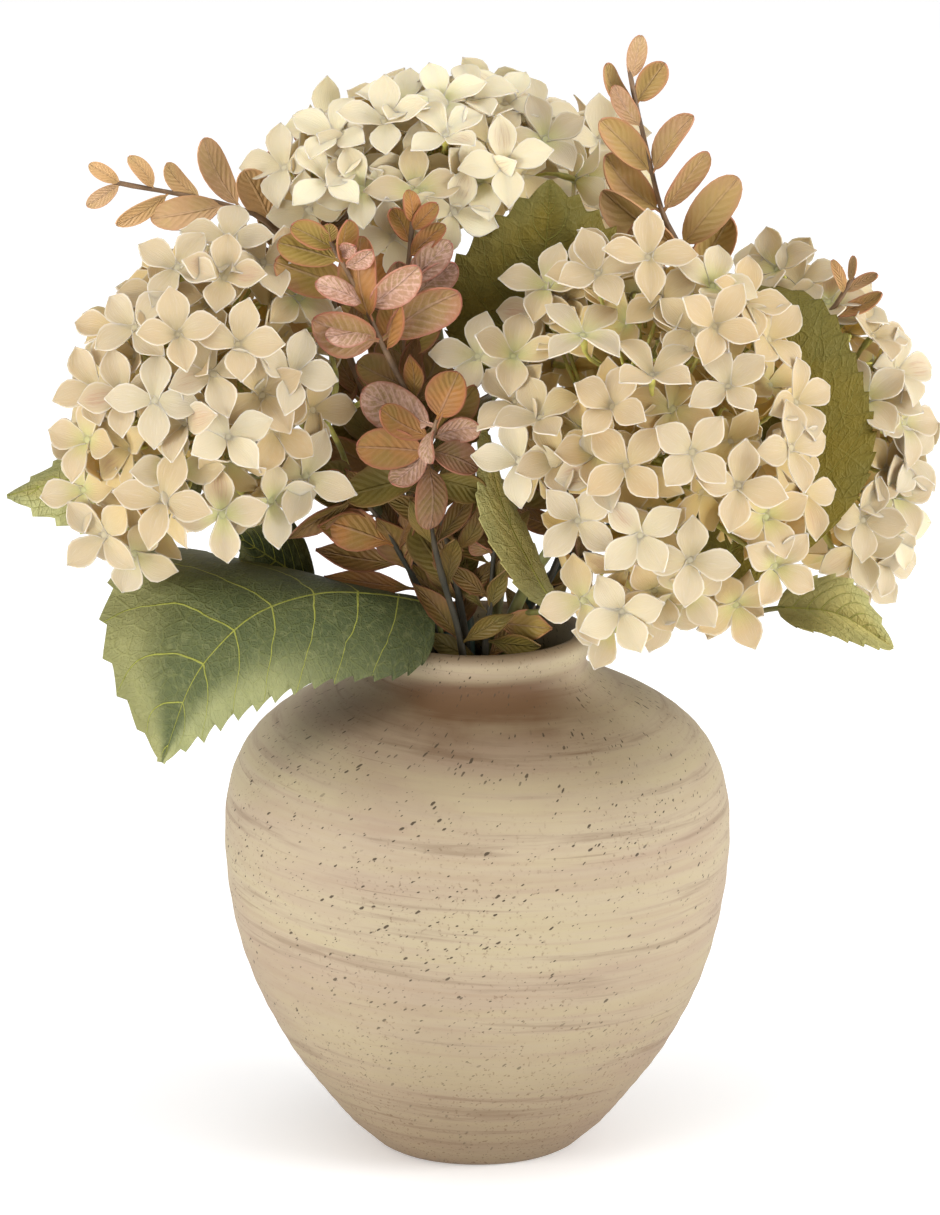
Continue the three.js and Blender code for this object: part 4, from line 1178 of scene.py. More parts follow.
def petal_grids(lengths, width, random, fine):
    """Midsurfaces of petals that lie along +X and cup towards +Z, and their marks."""
    places = PETAL_PLACES if fine else PETAL_PLACES[COARSE_PLACES]
    widths = PETAL_WIDTHS if fine else PETAL_WIDTHS[COARSE_PLACES]
    across = PETAL_COLUMNS if fine else PETAL_COLUMNS[::2]
    count = len(lengths)

    def vary(low, high):
        return random.uniform(low, high, count)[:, None]

    whole = np.repeat(random.uniform(0, 1, count // PETALS), PETALS)[:, None]
    rise = math.radians(RISE) + math.radians(RISE_MORE) * whole + vary(*np.radians(RISE_OF_ONE))
    tip = vary(*np.radians(TIP_SLOPE))
    slope = (rise + (tip - rise) * places) * np.minimum(1, 0.35 + places * 5)
    step = np.diff(places)
    mean = (slope[:, 1:] + slope[:, :-1]) / 2
    size = (lengths * random.uniform(*PETAL_LENGTHS, count))[:, None]
    zero = np.zeros((count, 1))
    x = np.concatenate([zero, np.cumsum(np.cos(mean) * step, axis=1)], axis=1) * size
    z = np.concatenate([zero, np.cumsum(np.sin(mean) * step, axis=1)], axis=1) * size
    pair = np.arange(count)[:, None] % 2
    z = z + OVERLAP * pair * np.clip(places * 5 - 0.5, 0, 1)

    half = (widths * width / 2 * vary(*PETAL_FULLNESS))[:, :, None]
    u = across[None, None, :]
    along = places[None, :, None]
    cup = vary(*PETAL_CUP)[:, :, None]
    y = half * u * (1 - 0.08 * cup)
    lift = half * cup * np.abs(u) ** 1.7
    groove = -GROOVE * np.exp(-((u / 0.25) ** 2)) * np.sin(np.pi * along)
    phase = vary(0, 6.3)[:, :, None]
    ripple = RIPPLE * np.sin(along * 9 + phase + u * 1.5) * np.abs(u) ** 2
    twist = vary(-PETAL_TWIST, PETAL_TWIST)[:, :, None] * along
    height = z[:, :, None] + lift + groove + ripple + y * twist
    shape = height.shape
    grid = np.stack([np.broadcast_to(x[:, :, None], shape), y, height], axis=-1)
    marks = [np.broadcast_to(along, shape), np.broadcast_to(u, shape), np.zeros(shape)]
    return grid, np.stack(marks, axis=-1)


def ray_through(x, y):
    """The direction of the photograph's ray through a pixel."""
    right, down = (x - FRAME_SIZE[0] / 2) / FOCAL_PIXELS, (y - FRAME_SIZE[1] / 2) / FOCAL_PIXELS
    return unit(RIGHT * right - UP * down - TOWARDS)


def point_at(x, y, depth):
    """The point on a pixel's ray that lies this far back from the axis."""
    ray = ray_through(x, y)
    return CAMERA_PLACE + ray * (depth - CAMERA_PLACE[1]) / ray[1]


def pixel_of(point):
    """The photograph's pixel of a point."""
    way = np.asarray(point) - CAMERA_PLACE
    scale = FOCAL_PIXELS / -(way @ TOWARDS)
    return FRAME_SIZE[0] / 2 + way @ RIGHT * scale, FRAME_SIZE[1] / 2 - way @ UP * scale


def within(outline, pixel):
    """Whether a pixel lies inside a closed outline of pixels."""
    inside = False
    for (x0, y0), (x1, y1) in zip(outline, outline[1:] + outline[:1]):
        if (y0 > pixel[1]) != (y1 > pixel[1]):
            if pixel[0] < x0 + (x1 - x0) * (pixel[1] - y0) / (y1 - y0):
                inside = not inside
    return inside


def head_axes(head):
    """Rows are the head's own axes, turned by its lean to the right."""
    lean = math.radians(head["lean"])
    right = [math.cos(lean), 0, -math.sin(lean)]
    up = [math.sin(lean), 0, math.cos(lean)]
    return np.array([right, [0, 1, 0], up])


def seat_on_head(head, x, y, depth):
    """Where the ray through a pixel meets the head's outline drawn in to that depth, or the
    point of the outline nearest to the ray."""
    axes = head_axes(head)
    half = np.array(head["half"]) * FLORET_OUTLINE * depth
    start = axes @ (CAMERA_PLACE - np.array(head["centre"])) / half
    ray = axes @ ray_through(x, y) / half
    a, b, c = ray @ ray, 2 * start @ ray, start @ start - 1
    inside = b * b - 4 * a * c
    if inside < 0:
        near = unit(start - ray * b / (2 * a))
    else:
        near = start + ray * (-b - math.sqrt(inside)) / (2 * a)
    return axes.T @ (near * half) + np.array(head["centre"])


def outward(head, point):
    """The direction out of the head's outline at a point."""
    axes = head_axes(head)
    local = axes @ (np.array(point) - np.array(head["centre"]))
    return unit(axes.T @ (local / np.array(head["half"]) ** 2))


def turned_about(facing, first, angle):
    """The direction first, which is square to facing, turned about it."""
    return first * math.cos(angle) + np.cross(facing, first) * math.sin(angle)


def florets_of(name, bloom, crowd):
    """Every floret of a head as (seat, facing, petal direction, petal length, depth). crowd holds
    points of the leaves and sprigs that untraced florets keep clear of."""
    head = HEADS[name]
    random = np.random.default_rng(head["seed"])
    centre, halves = np.array(head["centre"], float), np.array(head["half"])
    found = []
    open_out = head.get("open_out", 1)
    for x, y, turn, tilt_right, tilt_up, depth, size in FLORETS[name]:
        sideways, upwards = tilt_right * open_out, tilt_up * open_out
        level = math.sqrt(max(0.05, 1 - sideways**2 - upwards**2))
        facing = unit(RIGHT * sideways + UP * upwards + TOWARDS * level)
        first = unit(RIGHT - facing * (RIGHT @ facing))
        petal = turned_about(facing, first, math.radians(turn))
        found.append((seat_on_head(head, x, y, depth), facing, petal, size, depth))

    foot = unit(np.array(head["stem"][-2], float) - centre)
    others = [
        (np.array(other["centre"]), np.array(other["half"]) * OTHER_HEAD)
        for other_name, other in HEADS.items() if other_name != name
    ]

    def is_free(seat, near_layer, gap):
        """Whether an untraced floret may grow here."""
        pixel = pixel_of(seat)
        return not (
            unit(seat - centre) @ foot > STEM_ROOM
            or any(np.linalg.norm(seat - near) < gap for near in near_layer)
            or any(np.linalg.norm((seat - middle) / half) < 1 for middle, half in others)
            or not within(OUTLINES[name], pixel)
            or any(seat[1] < back and within(clearing, pixel) for back, clearing in CLEARINGS)
            or np.min(np.linalg.norm(crowd - seat, axis=1)) < CROWD_ROOM
        )

    for layer, tries in LAYERS:
        outer = layer > FINE_DEPTH
        gap = (bloom.spacing if outer else bloom.inner_spacing) / MM * head.get("gap", 1)
        near_layer = [floret[0] for floret in found] if outer else []
        for i in range(tries):
            height = 1 - (2 * (i + 0.5)) / tries
            turn = i * GOLDEN_ANGLE + head["seed"]
            level = math.sqrt(1 - height * height)
            direction = np.array([level * math.cos(turn), level * math.sin(turn), height])
            reach = layer * random.uniform(0.94, 1.02)
            seat = centre + head_axes(head).T @ (direction * halves * reach)
            jitter = random.normal(0, 0.3, 3)
            spin = random.uniform(0, math.pi)
            size = bloom.petal_length / MM * random.uniform(0.92, 1.06)
            if not is_free(seat, near_layer, gap):
                continue
            near_layer.append(seat)
            facing = unit(outward(head, seat) + jitter)
            first = unit(np.cross(facing, (0.2, 0.3, 0.93)))
            petal = turned_about(facing, first, spin)
            found.append((seat, facing, petal, size, layer * 0.97))
    return found


def add_button(flowers, seat, facing, petal, color):
    """The low dome that joins the four petals of a floret."""
    across = np.cross(facing, petal)
    angles = np.linspace(0, 2 * math.pi, BUTTON_SIDES, endpoint=False)
    ring = np.cos(angles)[:, None] * petal + np.sin(angles)[:, None] * across
    rings = [
        seat + ring * BUTTON_RADIUS * out + facing * BUTTON_HEIGHT * up for out, up in BUTTON_RINGS
    ]
    faces = between_rings(len(rings), BUTTON_SIDES)
    flowers.add(np.concatenate(rings), faces, petal=(0.05, 0.5, 0.1), blush=tuple(color))


def add_florets(name, bloom, found, paint):
    """The florets of a head as one piece."""
    head = HEADS[name]
    random = np.random.default_rng(head["seed"] + 500)
    flowers = Gather("petal", "blush")
    for fine in (True, False):
        chosen = [floret for floret in found if (floret[4] > FINE_DEPTH) == fine]
        if not chosen:
            continue
        seats, facings, petals, sizes = (np.array([f[k] for f in chosen]) for k in range(4))
        grid, marks = petal_grids(np.repeat(sizes, PETALS), bloom.petal_width / MM, random, fine)
        count = len(chosen)
        grid = grid.reshape(count, PETALS, *grid.shape[1:])
        spread = random.normal(0, math.radians(5), (count, PETALS))
        spread = (spread + np.arange(PETALS) * math.pi / 2)[:, :, None, None]
        x = grid[..., 0] * np.cos(spread) - grid[..., 1] * np.sin(spread)
        y = grid[..., 0] * np.sin(spread) + grid[..., 1] * np.cos(spread)
        world = (
            seats[:, None, None, None]
            + x[..., None] * petals[:, None, None, None]
            + y[..., None] * np.cross(facings, petals)[:, None, None, None]
            + grid[..., 2, None] * facings[:, None, None, None]
        )

        # How far inside the head each point lies, for the painted golden shade there, and the tints of
        # each floret.
        local = (world - np.array(head["centre"])) @ head_axes(head).T / np.array(head["half"])
        marks = marks.reshape(world.shape).copy()
        marks[..., 2] = np.clip((0.97 - np.linalg.norm(local, axis=-1)) / 0.36, 0, 1)
        marks[..., 2] *= head.get("deep_shade", 1)
        # Florets inside the head, which have coarse petals, get more peach as a painted shade.
        tint = random.normal(0.38, 0.32, count) + head.get("tint", 0) + (0 if fine else 0.3)
        tint = np.clip(tint, -1, 1)
        is_green = random.uniform(0, 1, count) < 0.3
        green = np.where(is_green, random.uniform(0.4, 0.95, count), 0.12)
        is_pink = random.uniform(0, 1, (count, PETALS)) < 0.06
        pink = np.where(is_pink, random.uniform(0.3, 0.6, (count, PETALS)), 0)
        whole = [np.repeat(mark[:, None], PETALS, 1) for mark in (tint, green)]
        blush = np.stack([*whole, pink], axis=-1)
        for seat, facing, petal, color in zip(seats, facings, petals, blush[:, 0]):
            add_button(flowers, seat, facing, petal, color)
        shape = (count * PETALS, *grid.shape[2:4], 3)
        flowers.sheets(
            world.reshape(shape), bloom.petal_thickness / MM, petal=marks.reshape(shape),
            blush=np.broadcast_to(blush.reshape(count * PETALS, 1, 1, 3), shape),
        )
    flowers.piece("florets_" + name, [paint], "petal", "bloom_" + name)


def add_branches(name, bloom, found, paint):
    """The branches of a head as one piece: main ones from the stem's end to a knot each, and from
    the knots a pedicel to every floret."""
    head = HEADS[name]
    branches = Gather()
    base = np.array(head["stem"][-1], float)
    below = unit(base - np.array(head["stem"][-2], float))
    directions = np.array([unit(floret[0] - base) for floret in found])
    picks = [0]
    while len(picks) < max(LEAST_BRANCHES, len(found) // FLORETS_A_BRANCH):
        distance = np.min(1 - directions @ directions[picks].T, axis=1)
        picks.append(int(np.argmax(distance)))
    nearest = np.argmax(directions @ directions[picks].T, axis=1)
    pedicel, branch = bloom.pedicel / MM, bloom.branch / MM
    for k in range(len(picks)):
        members = [found[i] for i in range(len(found)) if nearest[i] == k]
        if not members:
            continue
        middle = np.mean([member[0] for member in members], axis=0)
        knot = base + (middle - base) * KNOT_PLACE
        bend = base + below * 6 + (knot - base) * 0.35
        way = smooth_path([base - below * 4, bend, knot], BRANCH_POINTS)
        branches.tube(way, np.linspace(branch, branch * 0.7, BRANCH_POINTS), BRANCH_SIDES)
        for seat, facing, _, _, _ in members:
            back = seat - facing * 7 + (knot - seat) * 0.08
            bow = knot + (back - knot) * 0.5 + facing * 2
            way = smooth_path([knot, bow, back, seat + facing * 0.3], PEDICEL_POINTS)
            radii = np.full(PEDICEL_POINTS, pedicel)
            radii[-3:] = pedicel * PEDICEL_END
            branches.tube(way, radii, PEDICEL_SIDES)
    for line in SHOWN_BRANCHES.get(name, []):
        way = smooth_path([point_at(*corner) for corner in line], SHOWN_POINTS)
        radii = np.linspace(branch * 0.85, pedicel * 1.3, SHOWN_POINTS)
        branches.tube(way, radii, STALK_SIDES)
    branches.piece("branches_" + name, [paint], "leaf", "bloom_" + name)


# ------------------------------------------------------------------ leaves

# Rows of a large leaf's mesh for each tooth, columns of each half, and the fullness of a leaf
# whose table gives none.
TOOTH_ROWS = 6
HALF_COLUMNS = 12
FULLNESS = (0.72, 0.72)

# A leaf this wide on one side, in millimetres, has teeth of full depth. Narrower ones have less.
FULL_TOOTH_WIDTH = 34

# Heights in millimetres of the quilting between veins and of the waves along the edge, and how
# far each half arches, as a share of its width.
QUILT, WAVE, ARCH = 0.9, 1.1, 0.07

# Share of a small leaf's length that is its own little stalk, and its least width as a share.
PETIOLE = 0.09
PETIOLE_WIDTH = 0.09


def wing_at(directions, place):
    """Direction of one half of a blade, between the directions given along it."""
    at = place * (len(directions) - 1)
    first = min(int(at), len(directions) - 2)
    a, b = np.array(directions[first], float), np.array(directions[first + 1], float)
    return unit(a + (b - a) * (at - first))


def blade_outline(t, fullness=FULLNESS):
    """Half width along a large leaf as a share of its widest, from base to tip."""
    bow = t**0.78
    power = fullness[0] if bow < 0.5 else fullness[1]
    return max(0.03, max(0.0, math.sin(math.pi * bow)) ** power * (1 - 0.6 * t**5))


def large_leaf(gather, spec, leaf, seed):
    """A toothed blade, quilted between its side veins."""
    random = np.random.default_rng(seed)
    rows = spec["teeth"] * TOOTH_ROWS + 1
    half = np.linspace(0, 1, HALF_COLUMNS) ** 0.9
    columns = np.concatenate([-half[:0:-1], half])
    rib = smooth_path(spec["rib"], rows)
    tangents = unit(np.gradient(rib, axis=0))
    size = np.sum(np.linalg.norm(np.diff(rib, axis=0), axis=1))
    depth = leaf.tooth / MM * min(1.0, max(spec["half"]) / FULL_TOOTH_WIDTH) * spec.get("tooth", 1)
    sweep = spec.get("sweep", 1)
    phases = random.uniform(0, 6.3, 4)
    fullness = spec.get("fullness", FULLNESS)
    grid = np.zeros((rows, len(columns), 3))
    blade = np.zeros_like(grid)
    spot = np.zeros_like(grid)
    for row in range(rows):
        t = row / (rows - 1)
        saw = (row % TOOTH_ROWS) / (TOOTH_ROWS - 1)
        tooth = saw**1.4 * depth * min(1, 8 * (1 - t)) * min(1, 0.3 + t * 20)
        wings = [wing_at(spec[side], t) for side in ("left", "right")]
        normal = unit(np.cross(wings[1] - wings[0], tangents[row]))
        if normal @ TOWARDS < 0:
            normal = -normal
        for column, u in enumerate(columns):
            side = 0 if u < 0 else 1
            a = abs(u)
            waver = 1 + 0.03 * math.sin(9 * t + phases[side])
            width = blade_outline(t, fullness) * spec["half"][side] * waver
            reach = width * a + tooth * max(0, (a - 0.7) / 0.3) ** 1.5
            ridge = abs(math.sin(math.pi * vein_place(t, u, a, sweep) * LEAF_VEINS)) ** 0.7
            quilt = ridge * QUILT * math.sin(math.pi * min(1, a)) ** 0.6
            wave = WAVE * math.sin(11 * t + phases[2 + side]) * a**2 * min(1, 3 * t)
            arch = ARCH * width * math.sin(math.pi * a)
            lift = (quilt + wave) * min(1, width / 16) + arch
            back = tooth * 0.7 * a**3
            grid[row, column] = rib[row] + wings[side] * reach + normal * lift + tangents[row] * back
            blade[row, column] = (u, t, seed)
            spot[row, column] = (u * width * MM, t * size * MM, size * MM)
    tone = (*spec["tone"], float(sweep))
    gather.sheets(grid[None], leaf.thickness / MM, blade=blade[None], spot=spot[None], tone=tone)


def oval_leaf(gather, base, tip, width, look, random):
    """A small leaf on a short petiole, cupped and a little bent. look gives its thickness, its
    tone, its shade, and its point, which is how pointed it is from 0, an oval, to 1."""
    along = tip - base
    size = np.linalg.norm(along)
    along = unit(along)
    face = np.array([random.uniform(-0.9, 0.9), -1, 0.3 + random.uniform(-0.8, 0.8)])
    face = unit(face - along * (face @ along))
    across = np.cross(along, face)
    steps = (1 - np.cos(np.linspace(0, math.pi, 13))) / 2
    places = np.concatenate([[0, PETIOLE * 0.6], PETIOLE + (1 - PETIOLE) * steps])
    columns = np.linspace(-1, 1, 7)
    rows = len(places)
    fold = random.uniform(-0.15, 0.65)
    bend = random.uniform(-0.2, 0.16)
    skew = random.uniform(-0.14, 0.14)
    grid = np.zeros((rows, len(columns), 3))
    blade = np.zeros_like(grid)
    spot = np.zeros_like(grid)
    seed = random.uniform(0, 9)
    for row, t in enumerate(places):
        bow = math.sin(math.pi * t)
        s = max(0, (t - PETIOLE) / (1 - PETIOLE)) ** 1.15
        oval = math.sqrt(max(0, 1 - (2 * s - 1) ** 2))
        pointed = math.sin(math.pi * s**0.9) ** 1.2 if 0 < s < 1 else 0
        outline = max(PETIOLE_WIDTH, oval + (pointed - oval) * look["point"])
        for column, u in enumerate(columns):
            half = width / 2 * outline
            lift = fold * half * abs(u) ** 1.4 + bend * size * bow
            lift += 0.3 * math.sin(8 * t + seed) * u
            sideways = u * half + skew * size * bow * 0.3
            grid[row, column] = base + along * (t * size) + across * sideways + face * lift
            blade[row, column] = (u, t, seed)
            # The spot's third number is the leaf's painted shade, below 0 its painted sunlight.
            spot[row, column] = (u * half * MM, t * size * MM, look["shade"])
    gather.sheets(
        grid[None], look["thickness"], blade=blade[None], spot=spot[None], tone=look["tone"]
    )


# ------------------------------------------------------------------ operators

# Points along the vase's profile, and along and round the foam's.
VASE_RINGS = 210
FOAM_RINGS = 90
FOAM_SIDES = 72

# Millimetres by which the foam is smaller than its CAD node, and by which its skin is rough.
FOAM_ROOM = 0.2
FOAM_ROUGHNESS = 0.16

# A thrown pot's waver, as a share of its radius with how often it comes round and the height in
# millimetres over which it turns. Then the height of its turning rings, and between which heights
# they are.
WAVERS = ((0.0012, 3, 23), (0.0008, 5, -11))
RING_DEPTH = 0.12
RINGED = (8, 170)

# Points along a stem, along a leaf's stalk, and along a leaf or sprig that florets keep clear of.
STEM_POINTS = 60
STALK_POINTS = 30
CROWD_RIB_POINTS = 12
CROWD_STEM_POINTS = 30

# Where the lamps aim, and each lamp's name, size and place, in metres. Their powers are settings.
LAMP_AIM = (0, 0, 0.22)
LAMPS = (
    ("key_light", 1.5, (-1.0, -1.9, 2.8)),
    ("top_light", 2.6, (0.0, -0.5, 3.3)),
    ("left_light", 1.4, (-2.05, -1.4, 0.34)),
    ("right_light", 1.4, (2.4, -0.9, 0.8)),
)


class BuildOperator:
    """What every operator here shares."""

    bl_options = {"REGISTER", "UNDO"}

    def settings(self, context, name):
        """One group of this scene's settings."""
        return getattr(context.scene, "hydrangea_" + name)


class HYDRANGEA_OT_vase(BuildOperator, bpy.types.Operator):
    """Builds the stoneware vase"""

    bl_idname = "hydrangea.make_vase"
    bl_label = "Vase"

    def execute(self, context):
        """Turns the wall's profile round the axis, with the slight waver of a thrown pot."""
        vase = self.settings(context, "vase")
        profile = [*VASE_OUTSIDE, *VASE_INSIDE]
        dense = smooth_path([(r, 0, z) for r, z in profile], VASE_RINGS)[:, [0, 2]]
        angles = np.linspace(0, 2 * math.pi, vase.sides, endpoint=False)
        rings = []
        for radius, height in dense:
            waver = 1
            for share, often, rise in WAVERS:
                waver = waver + share * np.sin(often * angles + height / rise)
            ring = RING_DEPTH * math.sin(height * 1.9) * min(1, radius / 30)
            wide = (max(radius, 0.0) + (ring if RINGED[0] < height < RINGED[1] else 0)) * waver
            level = np.full(len(angles), max(height, 0.0))
            rings.append(np.stack([wide * np.cos(angles), wide * np.sin(angles), level], axis=1))
        gather = Gather()
        gather.add(np.concatenate(rings), between_rings(len(rings), vase.sides))
        gather.piece("vase_stoneware", [stoneware_paint(vase)], "stoneware", "vase")
        return {"FINISHED"}


class HYDRANGEA_OT_foam(BuildOperator, bpy.types.Operator):
    """Builds the foam block that holds the stems"""

    bl_idname = "hydrangea.make_foam"
    bl_label = "Foam"

    def execute(self, context):
        """A rounded block with a crumbly skin, a little smaller than the space it fills."""
        vase = self.settings(context, "vase")
        low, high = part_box("foam")
        radius, bottom, top = high.x / MM, low.z / MM, high.z / MM
        wall = radius - FOAM_ROOM
        profile = [
            (0, bottom), (radius - 2, bottom), (wall, bottom + 2), (wall, top - 3),
            (radius - 3, top), (radius / 2, top + 0.4), (0, top + 0.2),
        ]
        dense = smooth_path([(r, 0, z) for r, z in profile], FOAM_RINGS)
        random = np.random.default_rng(7)
        angles = np.linspace(0, 2 * math.pi, FOAM_SIDES, endpoint=False)
        rough = random.normal(0, FOAM_ROUGHNESS, (FOAM_RINGS, FOAM_SIDES))
        wide = np.clip(dense[:, 0], 0, wall)[:, None] - np.abs(rough)
        wide = np.clip(wide, 0, None)
        height = dense[:, 2][:, None] + rough * 0.4
        points = np.stack([wide * np.cos(angles), wide * np.sin(angles), height], axis=-1)
        gather = Gather()
        gather.add(points.reshape(-1, 3), between_rings(FOAM_RINGS, FOAM_SIDES))
        gather.piece("foam_block", [foam_paint(vase)], "foam", "foam")
        return {"FINISHED"}


class HYDRANGEA_OT_stems(BuildOperator, bpy.types.Operator):
    """Builds the flower stems with their large toothed leaves"""

    bl_idname = "hydrangea.make_stems"
    bl_label = "Stems and Leaves"

    def execute(self, context):
        """One piece for each flower stem, and one for the leaf that stands alone."""
        leaf = self.settings(context, "leaf")
        paints = [leaf_paint(leaf), stem_paint(leaf)]
        radius, stalk = leaf.stem / MM, leaf.stalk / MM
        bare = {"stem_" + name: head["stem"] for name, head in HEADS.items()}
        for number, node in enumerate([*bare, "leaf_front"]):
            gather = Gather("blade", "spot", "tone")
            path = None
            if node in bare:
                path = smooth_path(planted(bare[node]), STEM_POINTS)
                bumps = 1 + 0.05 * np.sin(np.linspace(0, 40, STEM_POINTS) + number)
                radii = radius * bumps * np.linspace(1.04, 0.8, STEM_POINTS)
                teal = (float(number % 2 == 1 or number == 2), 0.0, 0.0)
                gather.tube(path, radii, STEM_SIDES, slot=1, tone=teal)
            for order, spec in enumerate(LEAVES.values()):
                if spec["node"] != node:
                    continue
                large_leaf(gather, spec, leaf, 3 + order)
                start = [] if path is None else [tuple(along_path(path, spec["from"]))]
                first, second = (np.array(point, float) for point in spec["rib"][:2])
                inward = first + 0.12 * (second - first)
                corners = planted([*start, *spec["stalk"][:-1], spec["rib"][0], tuple(inward)])
                way = smooth_path(corners, STALK_POINTS)
                radii = np.linspace(stalk, stalk * 0.75, STALK_POINTS)
                gather.tube(way, radii, STALK_SIDES, slot=1)
            name = node.replace("leaf_", "leafy_").replace("stem_", "stalk_")
            gather.piece(name, paints, "leaf", node)
        return {"FINISHED"}


class HYDRANGEA_OT_sprigs(BuildOperator, bpy.types.Operator):
    """Builds the sprigs of small oval leaves"""

    bl_idname = "hydrangea.make_sprigs"
    bl_label = "Sprigs"

    def execute(self, context):
        """One piece for each sprig: a thinning stem and its paired leaves."""
        sprig = self.settings(context, "sprig")
        paints = [sprig_leaf_paint(sprig), bark_paint(sprig)]
        for number, (node, spec) in enumerate(SPRAYS.items()):
            random = np.random.default_rng(90 + number)
            gather = Gather("blade", "spot", "tone")
            path = smooth_path(planted(spec["stem"]), STEM_POINTS)
            places = np.linspace(0, 1, STEM_POINTS)
            radii = np.interp(places, [0, 0.6, 1], [1, 0.9, 0.62]) * sprig.stem / MM
            knobs = 1 + 0.22 * np.clip(np.sin(places * 34), 0, 1) ** 4
            gather.tube(path, radii * knobs, BRANCH_SIDES, slot=1)
            look = {"thickness": sprig.thickness / MM, "point": spec.get("point", 0)}
            for order, (place, x, y, z, width, *kind) in enumerate(spec["leaves"]):
                kinds = kind or spec["kinds"]
                plain = np.array(LEAF_KINDS[kinds[order % len(kinds)]])
                *tone, shade = plain + random.uniform(-0.12, 0.12, 4) * (plain > 0)
                look["tone"] = tuple(np.clip(tone, -1, 1).tolist())
                # The sprig's shade adds a painted shade to the leaves that are neither dark nor mossy,
                # and below 0 a painted sunlight.
                in_the_open = kind not in (["dark"], ["moss"])
                look["shade"] = float(shade) + spec.get("shade", 0) * in_the_open
                base, tip = along_path(path, place), np.array([x, y, z], float)
                least = min(np.linalg.norm(tip - base) * 0.5, width * 1.7)
                wide = max(width * sprig.fullness, least) * spec.get("full", 1)
                oval_leaf(gather, base, tip, wide, look, random)
            first, last, pairs, size = LOWER_PAIRS[node]
            look["point"] = LOWER_POINT
            for pair in range(pairs):
                place = first + (last - first) * pair / max(1, pairs - 1)
                base = along_path(path, place)
                turn = pair * LOWER_TURN + random.uniform(-0.4, 0.4)
                for side in (0, math.pi):
                    angle = turn + side
                    upwards = 0.9 + random.uniform(-0.4, 0.5)
                    way = unit((math.cos(angle), 0.5 * math.sin(angle), upwards))
                    reach = size * random.uniform(0.85, 1.15)
                    moss = -random.uniform(0.4, 1) * (random.uniform() < 0.4)
                    look["tone"] = (random.uniform(0.3, 1), random.uniform(0, 0.8), moss)
                    # Painted shade on the lower pairs, low in the vase.
                    look["shade"] = random.uniform(0.35, 0.85)
                    tip = base + way * reach
                    oval_leaf(gather, base, tip, reach * LOWER_WIDTH, look, random)
            gather.piece(node.replace("spray_", "sprig_"), paints, "spray", node)
        return {"FINISHED"}


class HYDRANGEA_OT_blooms(BuildOperator, bpy.types.Operator):
    """Builds the five flower heads"""

    bl_idname = "hydrangea.make_blooms"
    bl_label = "Flower Heads"

    def execute(self, context):
        """Florets on the outline of each head and below it, and the branches that carry them."""
        bloom = self.settings(context, "bloom")
        paint, branch = petal_paint(bloom), branch_paint(bloom)

        # Points of the leaves and sprigs that the florets keep clear of.
        crowd = []
        for spec in LEAVES.values():
            rib = smooth_path(spec["rib"], CROWD_RIB_POINTS)
            for row, point in enumerate(rib):
                t = row / (CROWD_RIB_POINTS - 1)
                for side, half in zip(("left", "right"), spec["half"]):
                    wing = wing_at(spec[side], t) * blade_outline(t) * half
                    crowd += [point + wing * reach for reach in (0, 0.5, 1)]
        for spec in SPRAYS.values():
            crowd += [np.array(small[1:4], float) for small in spec["leaves"]]
            crowd += list(smooth_path(planted(spec["stem"]), CROWD_STEM_POINTS)[8:])
        crowd = np.array(crowd)
        for name in HEADS:
            found = florets_of(name, bloom, crowd)
            if len(found) < LEAST_FLORETS:
                raise RuntimeError(f"the head {name} has only {len(found)} florets")
            add_florets(name, bloom, found, paint)
            add_branches(name, bloom, found, branch)
        return {"FINISHED"}


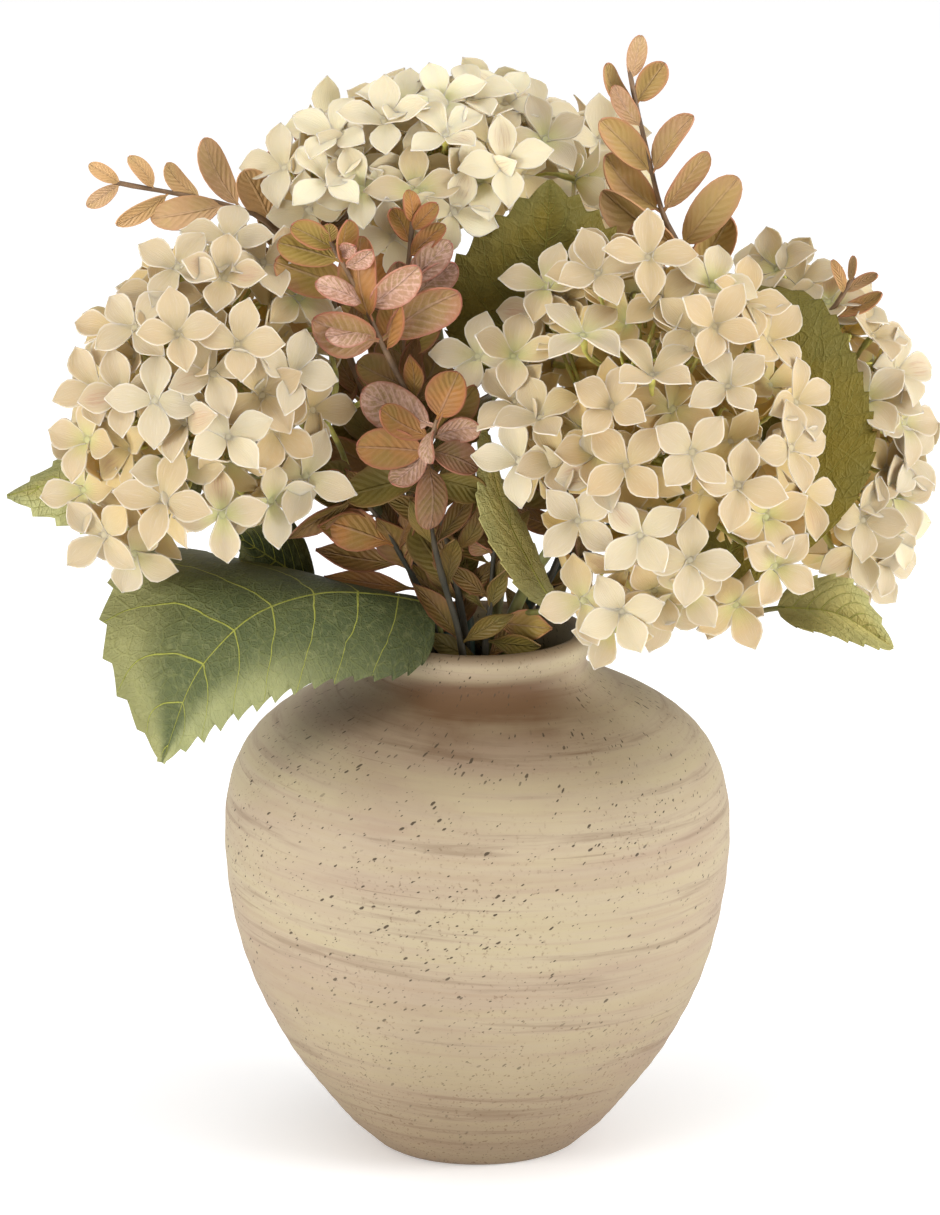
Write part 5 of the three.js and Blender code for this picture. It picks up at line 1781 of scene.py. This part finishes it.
class HYDRANGEA_OT_stage(BuildOperator, bpy.types.Operator):
    """Builds the floor, the lights and the camera"""

    bl_idname = "hydrangea.make_stage"
    bl_label = "Stage"

    def execute(self, context):
        """A wide pale floor in soft light, seen as the photograph sees the vase."""
        stage = self.settings(context, "stage")
        scene = context.scene
        radius = stage.floor_radius
        angles = np.linspace(0, 2 * math.pi, 64, endpoint=False)
        corners = [(radius * math.cos(a), radius * math.sin(a), 0) for a in angles]
        mesh = bpy.data.meshes.new("floor")
        mesh.from_pydata(corners, [], [list(range(len(corners)))])
        mesh.materials.append(floor_paint(stage))
        floor = bpy.data.objects.new("floor", mesh)
        context.collection.objects.link(floor)

        world = bpy.data.worlds.new("studio")
        world.use_nodes = True
        background = world.node_tree.nodes["Background"]
        background.inputs["Color"].default_value = (1, 1, 1, 1)
        background.inputs["Strength"].default_value = stage.sky
        scene.world = world
        powers = (stage.key, stage.top, stage.side, stage.side)
        for (name, size, place), power in zip(LAMPS, powers):
            lamp = bpy.data.lights.new(name, "AREA")
            lamp.energy = power
            lamp.shape = "DISK"
            lamp.size = size
            made = bpy.data.objects.new(name, lamp)
            made.visible_camera = False
            made.location = place
            aim = Vector(LAMP_AIM) - Vector(place)
            made.rotation_euler = aim.to_track_quat("-Z", "Y").to_euler()
            context.collection.objects.link(made)

        lens = bpy.data.cameras.new("view")
        lens.sensor_fit = "AUTO"
        lens.sensor_width = SENSOR
        lens.lens = FOCAL_PIXELS / max(FRAME_SIZE) * SENSOR
        lens.clip_start, lens.clip_end = 0.1, 100
        camera = bpy.data.objects.new("view", lens)
        camera.location = CAMERA_PLACE * MM
        camera.rotation_euler = Vector(-TOWARDS).to_track_quat("-Z", "Y").to_euler()
        context.collection.objects.link(camera)
        scene.camera = camera
        scene.view_settings.view_transform = "Standard"
        return {"FINISHED"}


class HYDRANGEA_PT_panel(bpy.types.Panel):
    """Lists the parts of the arrangement and their settings"""

    bl_idname = "HYDRANGEA_PT_panel"
    bl_label = "Hydrangeas in a Vase"
    bl_space_type = "VIEW_3D"
    bl_region_type = "UI"
    bl_category = "Hydrangeas"

    def draw(self, context):
        """A button for each operator, then the settings."""
        layout = self.layout
        for operator in OPERATORS:
            layout.operator(operator.bl_idname)
        for name, group in SETTINGS.items():
            box = layout.box()
            box.label(text=group.__doc__)
            for prop in group.__annotations__:
                box.prop(getattr(context.scene, name), prop)


OPERATORS = (
    HYDRANGEA_OT_stage,
    HYDRANGEA_OT_vase,
    HYDRANGEA_OT_foam,
    HYDRANGEA_OT_stems,
    HYDRANGEA_OT_sprigs,
    HYDRANGEA_OT_blooms,
)


def register():
    """Adds the settings, operators and panel to Blender."""
    for cls in (*SETTINGS.values(), *OPERATORS, HYDRANGEA_PT_panel):
        bpy.utils.register_class(cls)
    for name, group in SETTINGS.items():
        setattr(bpy.types.Scene, name, PointerProperty(type=group))


def unregister():
    """Takes them away again."""
    for name in SETTINGS:
        delattr(bpy.types.Scene, name)
    for cls in reversed((*SETTINGS.values(), *OPERATORS, HYDRANGEA_PT_panel)):
        bpy.utils.unregister_class(cls)


def main():
    """Builds the whole arrangement."""
    register()
    for operator in OPERATORS:
        group, name = operator.bl_idname.split(".")
        getattr(getattr(bpy.ops, group), name)()


if __name__ == "__main__":
    main()
